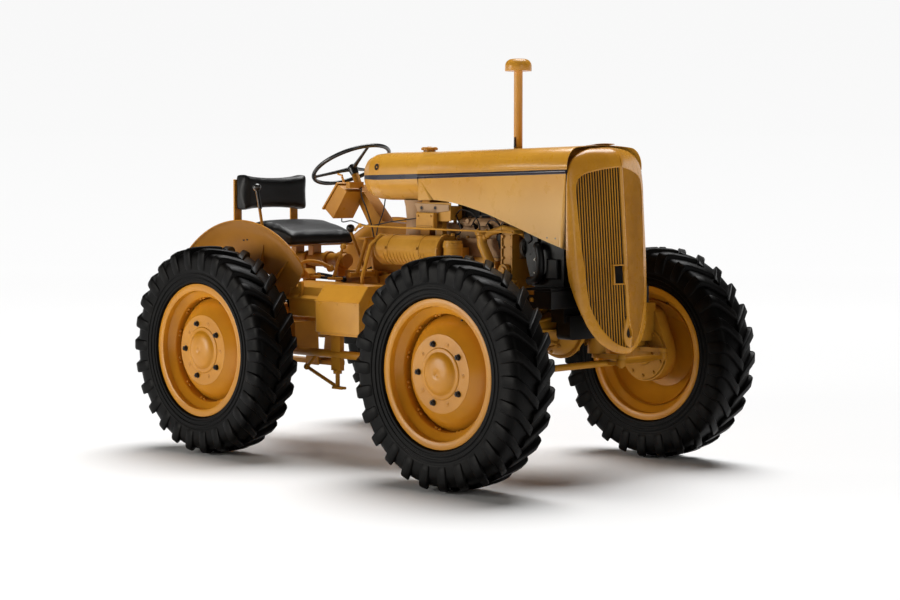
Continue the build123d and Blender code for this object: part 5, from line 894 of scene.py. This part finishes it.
# from the tip up and over to the crown: outer edge as half width and height, then the opening's edge
shield = [(0.000, 0.5880, 0.000, 0.6185), (0.045, 0.5925, 0.030, 0.6215), (0.099, 0.6130, 0.078, 0.6450),
          (0.145, 0.6400, 0.113, 0.6770), (0.178, 0.6740, 0.140, 0.7080), (0.207, 0.7170, 0.165, 0.7500),
          (0.235, 0.7880, 0.188, 0.8000), (0.255, 0.8680, 0.201, 0.8650), (0.2665, 0.9800, 0.209, 0.9800),
          (0.270, 1.1000, 0.222, 1.1000), (0.270, 1.2500, 0.230, 1.2500), (0.2685, 1.3650, 0.232, 1.3350),
          (0.256, 1.4320, 0.222, 1.3800), (0.222, 1.4800, 0.190, 1.4050), (0.160, 1.5120, 0.140, 1.4190),
          (0.080, 1.5270, 0.075, 1.4310), (0.000, 1.5300, 0.000, 1.4400)]
outer_edge = [(p.x * shell_half / 0.270, p.y) for p in eased([(a, b, 0) for a, b, _, _ in shield], 4)]
opening_edge = [(p.x, p.y) for p in eased([(a, b, 0) for _, _, a, b in shield], 4)]
prow = 0.345


def front_x(y, z):
    """The V front, eased over its ridge."""
    return 1.206 + 0.072 * (1.530 - z) - prow * math.sqrt(y * y + 0.00005)


def back_x(z):
    """Rear edge of the side wall: flush with the hood, then drawn forward to the tip."""
    if z > 1.03:
        return nose_x
    if z > 0.93:
        return nose_x + 0.010 * (1.03 - z) / 0.10
    return nose_x + 0.010 + 0.106 * (0.93 - z) / 0.342


def edge_at(edge, y, upper):
    """Height of an edge at a half width, on its upper or lower run."""
    runs = [(a, b) for a, b in zip(edge, edge[1:]) if min(a[0], b[0]) <= y <= max(a[0], b[0])]
    a, b = runs[-1 if upper else 0]
    return a[1] + (b[1] - a[1]) * (y - a[0]) / (b[0] - a[0]) if abs(b[0] - a[0]) > 1e-6 else a[1]


def width_at(edge, z):
    for a, b in zip(edge, edge[1:]):
        if a[1] <= z <= b[1]:
            return a[0] + (b[0] - a[0]) * (z - a[1]) / (b[1] - a[1])
    return 0.0


def shell_section(outer, inner):
    """Sheet from the rear edge of the wall round the rolled edge to the opening, and back inside it."""
    (oy, oz), (iy, iz) = outer, inner
    reach = math.hypot(iy - oy, iz - oz)
    u = ((iy - oy) / reach, (iz - oz) / reach)
    crown = min(1.0, max(0.0, (oz - 1.34) / 0.15))
    crown = crown * crown * (3 - 2 * crown)
    roll = min(0.026 + 0.052 * crown, reach * 0.85)
    deep = min(0.024 + 0.046 * crown, front_x(abs(oy), oz) - back_x(oz) - 0.003)
    ring = []
    for inset in (0.0, 0.003):
        side = []
        side.append((back_x(oz), inset))
        for k in range(7):
            t = math.pi / 2 * k / 6
            d = inset + (roll - inset) * (1 - math.cos(t))
            yy, zz = oy + u[0] * d, oz + u[1] * d
            side.append((front_x(abs(yy), zz) - inset - (deep - inset) * (1 - math.sin(t)), d))
        d = (roll + reach) / 2
        side.append((front_x(abs(oy + u[0] * d), oz + u[1] * d) - inset, d))
        side.append((front_x(abs(iy), iz) - inset, reach - 0.002))
        if not inset:
            side += [(front_x(abs(iy), iz) - 0.0015, reach), (front_x(abs(iy), iz) - 0.0085, reach)]
        ring += side if not inset else side[::-1]
    return [(x, oy + u[0] * d, oz + u[1] * d) for x, d in ring]


shell = Piece()
stations = [((-a, b), (-c, d)) for (a, b), (c, d) in zip(outer_edge, opening_edge)]
stations += [((a, b), (c, d)) for (a, b), (c, d) in list(zip(outer_edge, opening_edge))[-2:0:-1]]
sections = [shell_section(a, b) for a, b in stations]
shell.grid([[section[i] for section in sections] for i in range(len(sections[0]))]
           + [[section[0] for section in sections]], around=True)
# middle strip with its bead, down to the plate round the starting handle's hole
strip_half, plate_top = 0.0105, 0.760
strip = []
for k in range(25):
    z = plate_top + (1.446 - plate_top) * k / 24
    across_strip = [(-0.008, -strip_half), (-0.0005, -strip_half), (0.0, -0.0095), (0.0004, -0.0060),
                    (0.0026, -0.0030), (0.0034, 0.0), (0.0026, 0.0030), (0.0004, 0.0060), (0.0, 0.0095),
                    (-0.0005, strip_half), (-0.008, strip_half)]
    strip.append([(front_x(y, z) + dx, y, z) for dx, y in across_strip])
shell.grid(strip, around=True, ends=True)
shell.tube([(front_x(0, z) + 0.0008 - drop, 0, z) for z, drop in ((1.440, 0), (1.455, 0.0), (1.470, 0.0022),
        (1.486, 0.0085), (1.500, 0.019))], 0.0022, 8)
hole_edge, plate_edge = [], []
for k in range(36):
    t = 2 * math.pi * k / 36 - math.pi / 2
    radius = 0.0185 if math.sin(t) < 0.25 else 0.0185 - 0.0100 * (math.sin(t) - 0.25) / 0.75
    hole_edge.append((radius * math.cos(t), 0.6790 + (0.0175 if math.sin(t) < 0 else 0.040) * math.sin(t)))
    plate_edge.append((0.031 * math.cos(t) * (1 - 0.55 * max(0.0, math.sin(t)) ** 1.5),
                       0.6790 + (0.062 if math.sin(t) < 0 else 0.090) * math.sin(t)))
loops = []
for share, lift in ((0.0, -0.012), (0.0, -0.0005), (0.06, 0.0018), (0.16, 0.0022), (0.28, 0.0004),
                    (0.9, 0.0), (1.0, -0.001), (1.0, -0.009)):
    loop = [(h[0] + (p[0] - h[0]) * share, h[1] + (p[1] - h[1]) * share)
            for h, p in zip(hole_edge, plate_edge)]
    loops.append([(front_x(y, z) + lift, y, z) for y, z in loop])
shell.grid(loops, around=True)
# framed hole in the driver's right half
hatch_out, hatch_in, hatch_low, hatch_high, frame_bar = 0.0615, 0.0105, 0.9110, 0.9910, 0.0065
for y0, y1, z0, z1 in ((hatch_in, hatch_out + frame_bar, hatch_high, hatch_high + frame_bar),
                       (hatch_in, hatch_out + frame_bar, hatch_low - frame_bar, hatch_low),
                       (hatch_out, hatch_out + frame_bar, hatch_low, hatch_high),
                       (hatch_in - 0.001, hatch_in + 0.004, hatch_low, hatch_high)):
    shell.slab([(front_x(y, z) + 0.0005, -y, z) for y, z in ((y0, z0), (y1, z0), (y1, z1), (y0, z1))],
               (-0.011, 0, 0), 0.0008)
shell.make("grille_shield", "chassis", grille_paint, 52, ("grille_shell",))

bars = Piece()
bar_pitch = (0.232 - strip_half) / 17
nose = [(-0.0022, -0.0050), (-0.0022, -0.0020), (-0.0015, -0.0005), (0.0, 0.0), (0.0015, -0.0005),
        (0.0022, -0.0020), (0.0022, -0.0050)]
for hand in (-1, 1):
    for k in range(1, 17):
        y = strip_half + k * bar_pitch
        foot_z, head_z = edge_at(opening_edge, y, False) - 0.004, edge_at(opening_edge, y, True) + 0.004
        runs = [(foot_z, head_z)]
        if hand < 0 and y < hatch_out + frame_bar:
            runs = [(foot_z, hatch_low - 0.003), (hatch_high + 0.003, head_z)]
        for z0, z1 in runs:
            bars.grid([[(front_x(y, z) - 0.0022 + dx, hand * (y + dy), z) for dy, dx in nose] for z in (z0,
                    z1)], around=True, ends=True)
bars.make("grille_uprights", "chassis", grille_paint, 40, ("grille_bars",))

# black sheet just behind the bars, closed round its sides: painted shade in the gaps between them
gap_shade_sheet = Piece()
sheets = []
for depth in (0.0, 0.003):
    rows = []
    for y, z in opening_edge[::2]:
        z = z + (0.006 if z > 1.2 else -0.004) * (1 if y < 0.2 else 0)
        rows.append([(front_x(abs(f * (y + 0.007)), z) - depth - deep, f * (y + 0.007), z)
                     for f, deep in ((-1, 0.010), (-0.97, 0.026), (-0.5, 0.028), (0, 0.028),
                                     (0.5, 0.028), (0.97, 0.026), (1, 0.010))])
    sheets.append(rows)
gap_shade_sheet.grid([a + b[::-1] for a, b in zip(*sheets)], around=True, ends=True)
gap_shade_sheet.make("grille_baffle", "chassis", black_paint, 60)

studs = Piece()
for z in (1.195, 1.060, 0.905, 0.770):
    for hand in (-1, 1):
        y = width_at(outer_edge, z)
        studs.turn((back_x(z) + 0.008, hand * (y - 0.0010), z), (0, hand, 0),
                   [(0, 0.0048), (0.0012, 0.0044), (0.0022, 0.0020)], 14)
studs.make("grille_studs", "chassis", sheet_paint, 40)

# ---------------------------------------------------------------- driver's place
# Thin black steering wheel on a raked column, an instrument box beside it, long levers, and a seat of two
# vinyl pads on a flat-bar frame.
wheel_black = Finish("wheel rim black")
wheel_black = wheel_black.set(Base_Color=wheel_black.mix(wheel_black.grain(60, 4).ramp(0.5, 0.8),
        (0.008, 0.008, 0.008), (0.03, 0.026, 0.022)), Roughness=wheel_black.grain(20) * 0.2 + 0.22,
                              Coat_Weight=0.4)
dress(sheet_paint, "instrument_box", "seat_frame", soft=0.0015)
dress(frame_paint, "control_levers", soft=0.0)
tilt = math.radians(28)
wheel_axis = Vector((-math.sin(tilt), 0, math.cos(tilt)))
wheel_hub = Vector((-0.609, 0, 1.462))
forward = Vector((math.cos(tilt), 0, math.sin(tilt)))
leftward = Vector((0, 1, 0))
round_rim = lambda degrees, r, lift=0.0: (
    wheel_hub + (forward * math.cos(math.radians(degrees)) + leftward * math.sin(math.radians(degrees))) * r
    + wheel_axis * lift)
steering = Piece()
rows = []
for k in range(96):
    degrees = 360 * k / 96
    rows.append([round_rim(degrees, 0.208 + 0.0108 * math.cos(t),
                           0.0105 * math.sin(t)) for t in (2 * math.pi * i / 14 for i in range(14))])
steering.grid(rows + rows[:1], around=True)
for degrees in (348, 108, 228):
    steering.tube([round_rim(degrees, 0.014, -0.024), round_rim(degrees, 0.030, -0.020),
                   round_rim(degrees, 0.060, -0.0165), round_rim(degrees, 0.120, -0.0100),
                   round_rim(degrees, 0.180, -0.0030), round_rim(degrees, 0.206, 0.0)],
                  [0.0120, 0.0115, 0.0095, 0.0080, 0.0072, 0.0085], 14)
steering.turn(wheel_hub, wheel_axis, [(-0.062, 0.014), (-0.058, 0.020), (-0.034, 0.0255), (-0.016, 0.0265),
                                      (-0.010, 0.0240), (-0.008, 0.0150), (-0.003, 0.0140),
                                      (-0.001, 0.0110)], 32)
steering.make("wheel_and_spokes", "steering_wheel", wheel_black, 40, ("steering_wheel",))
knobs = Piece()
knobs.turn((-1.068, -0.260, 1.322), (0, 0, 1), [(0, 0.008), (0.004, 0.012), (0.010, 0.0185),
        (0.022, 0.0225), (0.032, 0.0200), (0.039, 0.0120), (0.041, 0.003)], 24)
knobs.tube([(-1.064, -0.2605, 1.322), (-1.0300, -0.2695, 1.230)], 0.0092, 12)
knobs.turn((-0.520, -0.090, 1.110), (0, 0, 1), [(0, 0.008), (0.004, 0.014), (0.012, 0.0205),
        (0.024, 0.0225), (0.036, 0.0180), (0.042, 0.0090), (0.043, 0.002)], 24)
knobs.make("lever_knobs", "chassis", wheel_black)

lid = Piece()
face = [Vector((-0.642, 0, 1.235)), Vector((-0.538, 0, 1.357))]
along = (face[1] - face[0]).normalized()
outward = Vector((-along.z, 0, along.x))
reach = (face[1] - face[0]).length
lid.slab([tuple(face[0] + along * s + Vector((0, y, 0)))
          for s, y in ((-0.007, -0.167), (reach + 0.007, -0.167), (reach + 0.007, -0.013),
                       (-0.007, -0.013))],
         outward * 0.004, 0.001)
for s in (0.016, reach - 0.016):
    for y in (-0.155, -0.025):
        lid.turn(tuple(face[0] + along * s + outward * 0.004 + Vector((0, y, 0))), outward,
                 [(0, 0.0045), (0.002, 0.0040), (0.003, 0.0015)], 12)
lid.slab(level(1, -0.100, (-0.560, 1.352), (-0.552, 1.356), (-0.575, 1.402), (-0.583, 1.398)),
         (0, 0.010, 0), 0.001)
lid.slab(level(1, -0.140, (-0.500, 1.340), (-0.470, 1.340), (-0.470, 1.372), (-0.500, 1.372)),
         (0, 0.100, 0), 0.002)
lid.tube([(-0.566, -0.104, 1.405), (-0.600, -0.104, 1.412)], 0.005, 10)
lid.make("instrument_lid", "chassis", sheet_paint, 36)

loose = Piece()
for path, r in (([(-0.470, -0.060, 1.345), (-0.452, -0.075, 1.300), (-0.405, -0.085, 1.235),
                  (-0.360, -0.090, 1.150), (-0.330, -0.095, 1.060)], 0.0038),
                ([(-0.300, -0.050, 1.285), (-0.305, -0.060, 1.220), (-0.325, -0.075, 1.150),
                  (-0.335, -0.080, 1.100)], 0.0032),
                ([(-0.585, -0.090, 1.190), (-0.560, -0.110, 1.165), (-0.470, -0.130, 1.172),
                  (-0.400, -0.135, 1.158), (-0.320, -0.130, 1.150), (-0.20, -0.110, 1.170),
                  (0.062, -0.160, 1.195)], 0.0030)):
    loose.tube(eased(path, 8), r, 8)
loose.make("dash_cables", "chassis", cable_black)

# ---------------------------------------------------------------- seat
# Two pads of smooth black vinyl. The cushion rises from a low front edge to a crown behind its middle and
# falls again at the back; the backrest dips along its top and curves round the driver's back.
vinyl = Finish("seat vinyl")
at = vinyl.place()
cells = vinyl.node("ShaderNodeTexVoronoi", {"feature": "DISTANCE_TO_EDGE"}, {"Vector": at, "Scale": 520.0})
soft_fold = vinyl.grain(9, 4, 0.6, at)
rubbed = vinyl.grain(5, 3, 0.6, at).ramp(0.5, 0.75)
seat_vinyl = vinyl.set(Base_Color=vinyl.mix(rubbed * 0.6, (0.0060, 0.0057, 0.0057),
        (0.0180, 0.0170, 0.0165)), Roughness=soft_fold * 0.16 + 0.28 + rubbed * 0.10,
                       Specular_IOR_Level=0.26, Coat_Weight=0.04, Coat_Roughness=0.25,
                       Normal=vinyl.bump(cells.ramp(0.0, 0.10) * 0.20 + soft_fold * 1.2, 0.30, 0.0022))


def stuffed(name, low, high, shape, cap, finish_slot, stands_for):
    """Pad from its CAD solid's place: shape moves each point of a rounded block, then air swells it
    by cap at most and smoothing evens the skin."""
    low, high = Vector(low), Vector(high)
    size, mid = high - low, (high + low) / 2
    bm = bmesh.new()
    bmesh.ops.create_cube(bm, size=1.0)
    bmesh.ops.subdivide_edges(bm, edges=bm.edges, cuts=23, use_grid_fill=True)
    for v in bm.verts:
        u = v.co * 2
        v.co = mid + Vector(shape(u, size))
    mesh = bpy.data.meshes.new(name)
    bm.to_mesh(mesh)
    bm.free()
    made = bpy.data.objects.new(name, mesh)
    bpy.context.scene.collection.objects.link(made)
    mesh.materials.append(finish_slot)
    bpy.context.view_layer.objects.active = made
    made.select_set(True)
    remesh = made.modifiers.new("even mesh", "REMESH")
    remesh.mode = "VOXEL"
    remesh.voxel_size = 0.006
    bpy.ops.object.modifier_apply(modifier=remesh.name)
    rest = [v.co.copy() for v in made.data.vertices]
    cloth = made.modifiers.new("stuffing", "CLOTH")
    cloth.settings.quality = 5
    cloth.settings.use_pressure = True
    cloth.settings.uniform_pressure_force = 4.0
    cloth.settings.effector_weights.gravity = 0.0
    for step in range(1, 21):
        bpy.context.scene.frame_set(step)
    swollen = made.evaluated_get(bpy.context.evaluated_depsgraph_get()).data
    moved = [v.co.copy() for v in swollen.vertices]
    made.modifiers.remove(cloth)
    for v, a, b in zip(made.data.vertices, rest, moved):
        step = b - a
        v.co = a + step * min(1.0, cap / max(step.length, 1e-9))
        if v.co.z < low.z and name == "seat_cushion_pad":
            v.co.z = low.z
    bpy.context.scene.frame_set(1)
    fair = bmesh.new()
    fair.from_mesh(made.data)
    for smoothing in range(8):
        bmesh.ops.smooth_vert(fair, verts=fair.verts, factor=0.5, use_axis_x=True, use_axis_y=True,
                              use_axis_z=True)
    fair.to_mesh(made.data)
    fair.free()
    made.select_set(False)
    smooth = made.modifiers.new("fair", "SUBSURF")
    smooth.levels = smooth.render_levels = 1
    for face in made.data.polygons:
        face.use_smooth = True
    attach(made, "chassis")
    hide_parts(stands_for)
    return made


def cushion_shape(u, size):
    """Crowned block, highest behind its middle, with a low rounded front."""
    k = 1.0 - 0.035 * (abs(u.x * u.y) ** 4)
    side = 1.0 - 0.016 * (u.z * u.z) ** 2
    t = (1 - u.x) / 2
    rise = -0.003 + 0.070 * (1 - (1 - t) ** 2) - 0.026 * (max(0.0, t - 0.66) / 0.34) ** 1.4
    top = rise + 0.010 * (1 - abs(u.x) ** 3) * (1 - abs(u.y) ** 2.5)
    return u.x * size.x / 2 * k * side, u.y * size.y / 2 * k * side, top * (u.z + 1) / 2 - size.z / 2 * (1
            - u.z) / 2


back_wider = 1.052


def back_shape(u, size):
    """Upright pad: hollow for the back, lower in the middle of its top edge."""
    k = 1.0 - 0.030 * (abs(u.y * u.z) ** 4)
    bulge = 0.010 * (1 - u.z ** 4) * (1 - u.y ** 4)
    dip = -0.014 * (1 - u.y ** 2) if u.z > 0 else 0.010 * (1 - u.y ** 2)
    x = u.x * (size.x / 2 - 0.004) + bulge * max(0.0, u.x) - 0.016 * (1 - u.y ** 2) * max(0.0, u.x)
    return x, u.y * size.y / 2 * k * back_wider, u.z * size.z / 2 * k + dip * abs(u.z)


cush_low, cush_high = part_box("seat_cushion")
back_low, back_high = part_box("seat_back")
cushion_give, back_give = 0.010, 0.008
stuffed("seat_cushion_pad", cush_low, cush_high, cushion_shape, cushion_give, seat_vinyl,
        "seat_cushion")
stuffed("seat_back_pad", back_low, back_high, back_shape, back_give, seat_vinyl, "seat_back")

# ---------------------------------------------------------------- fenders, boxes and step
# Dished sheet guards inside the rear wheels, a sheet box on each side of the frame with a sloping lid, and
# a folded step behind it. Rolled edges and pressed ribs stiffen the sheet.
# the guards take a darker copy of the sheet paint: painted shade for the shade between the wheels and the
# body
fender_shaded_paint = paint("shaded fender paint", (0.48, 0.200, 0.018), (0.40, 0.160, 0.014), rough=0.36, coat=0.28,
                     grime=0.24, peel=0.10, crevice=0.05)
dress(sheet_paint, "side_box_right", "side_box_left", soft=0.006)
hub = Vector((-0.845, 0, hub_z))
dish = [(p.x, p.y) for p in eased([(0.300, 0.4700, 0), (0.395, 0.4705, 0), (0.470, 0.4725, 0),
                                   (0.540, 0.4800, 0), (0.585, 0.4960, 0), (0.616, 0.5210, 0),
                                   (0.636, 0.5440, 0), (0.6485, 0.5580, 0)], 5)]


def dish_y(r):
    """How far out the guard stands at a radius from the hub."""
    for (r0, y0), (r1, y1) in zip(dish, dish[1:]):
        if r <= r1:
            return y0 + (y1 - y0) * max(0.0, r - r0) / (r1 - r0)
    return dish[-1][1]


for hand, side in ((-1, "right"), (1, "left")):
    guard = Piece()
    on = lambda r, degrees, lift=0.0: hub + Vector((r * math.cos(math.radians(degrees)),
            hand * (dish_y(r) + lift), r * math.sin(math.radians(degrees))))
    ends, corner = (44.3, 141.8), 0.080
    angles = [ends[0] + (0.5 - 0.5 * math.cos(math.pi * k / 70)) * (ends[1] - ends[0]) for k in range(71)]
    lip, rows, inner = [], [], []
    for degrees in angles:
        reach = min(math.radians(degrees - ends[0]), math.radians(ends[1] - degrees)) * 0.62
        cut = corner - math.sqrt(max(0.0, corner ** 2 - max(0.0, corner - reach) ** 2))
        deeper = min(1.0, max(0.0, (74.0 - degrees) / 20.0))
        r0 = 0.395 - 0.090 * deeper * deeper * (3 - 2 * deeper) + (cut if degrees < 90 else 0.0)
        r1 = 0.6485 - cut
        lip.append(on(r1, degrees))
        radii = [r0 + (r1 - r0) * f for f in (0, 0.08, 0.2, 0.34, 0.48, 0.6, 0.7, 0.78, 0.85, 0.91, 0.96,
                1.0)]
        rows.append([on(r, degrees) for r in radii] + [on(r, degrees, -0.0028) for r in radii[::-1]])
    guard.grid(rows, around=True, ends=True)
    guard.tube(lip, 0.0046, 10)
    guard.tube([on(0.390 + 0.178 * k / 6, ends[0] + 0.02) for k in range(7)], 0.0040, 8)
    for turn0, turn1, r0, r1 in ((81.0, 80.0, 0.434, 0.532), (63.5, 57.5, 0.395, 0.530)):
        guard.tube([on(r0 + (r1 - r0) * k / 4, turn0 + (turn1 - turn0) * k / 4, 0.003) for k in range(5)],
                   [0.0125, 0.0105, 0.0080, 0.0050, 0.0015], 12)
    guard.slab([hub + Vector((x, hand * 0.4660, z))
                for x, z in ((-0.060, 0.246), (0.060, 0.246), (0.130, 0.430), (-0.130, 0.430))],
               (0, hand * 0.0045, 0), 0.001)
    guard.make(f"fender_{side}_dish", "chassis", fender_shaded_paint, 50, ("fender_" + side,))
    # black discs at two spots on the guard: painted shade standing for small holes through it
    hole_shades = Piece()
    for degrees in (93.6, 96.6):
        spot = on(0.552, degrees)
        hole_shades.turn(spot - Vector((0, hand * 0.002, 0)), (0, hand, 0.25),
                      [(0, 0.0075), (0.0032, 0.0075), (0.0036, 0.0050), (0.0026, 0.0010)], 16)
    hole_shades.make(f"fender_{side}_grommets", "chassis", black_paint, 40)
    low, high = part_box("side_box_" + side)
    outer_y = max(abs(low[1]), abs(high[1]))
    bin_ = Piece()
    bin_.slab(level(1, hand * (outer_y - 0.012), (low[0] + 0.02, low[2] - 0.012),
                    (high[0] + 0.004, low[2] - 0.012), (high[0] + 0.004, low[2] + 0.004),
                    (low[0] + 0.02, low[2] + 0.004)), (0, -hand * 0.150, 0), 0.002)
    seam = [(low[0] - 0.001, hand * (outer_y + 0.0008), high[2] - 0.079),
            (high[0] + 0.001, hand * (outer_y + 0.0008), high[2] - 0.079)]
    bin_.tube(seam, 0.0030, 8)
    for x in (low[0] + 0.03, low[0] + 0.16, high[0] - 0.03):
        bin_.turn((x, hand * outer_y, high[2] - 0.092), (0, hand, 0),
                  [(0, 0.0040), (0.0014, 0.0036), (0.0024, 0.0016)], 12)
    step = [(0.352, 0.872), (0.440, 0.866), (0.470, 0.846), (0.482, 0.806), (0.505, 0.792), (0.506, 0.786),
            (0.484, 0.786), (0.478, 0.700)]
    thick = 0.004
    rows = []
    for x in (-0.552, -0.290):
        outline = [(x, hand * y, z) for y, z in step]
        rows.append(outline + [(x, hand * (y - thick), z - thick) for y, z in step[::-1]])
    bin_.grid(rows, around=True, ends=True)
    bin_.box((-0.470, min(hand * 0.474, hand * 0.492), 0.792),
             (-0.446, max(hand * 0.474, hand * 0.492), 0.872), 0.002)
    for z in (0.812, 0.850):
        bin_.bolt((-0.458, hand * 0.492, z), (0, hand, 0), 0.010, 0.007)
    bin_.make(f"side_box_{side}_trim", "chassis", sheet_paint, 36)

for (body, finish), piece in fixings.items():
    piece.make(f"{body}_bolts", body, casting_paint, 34)
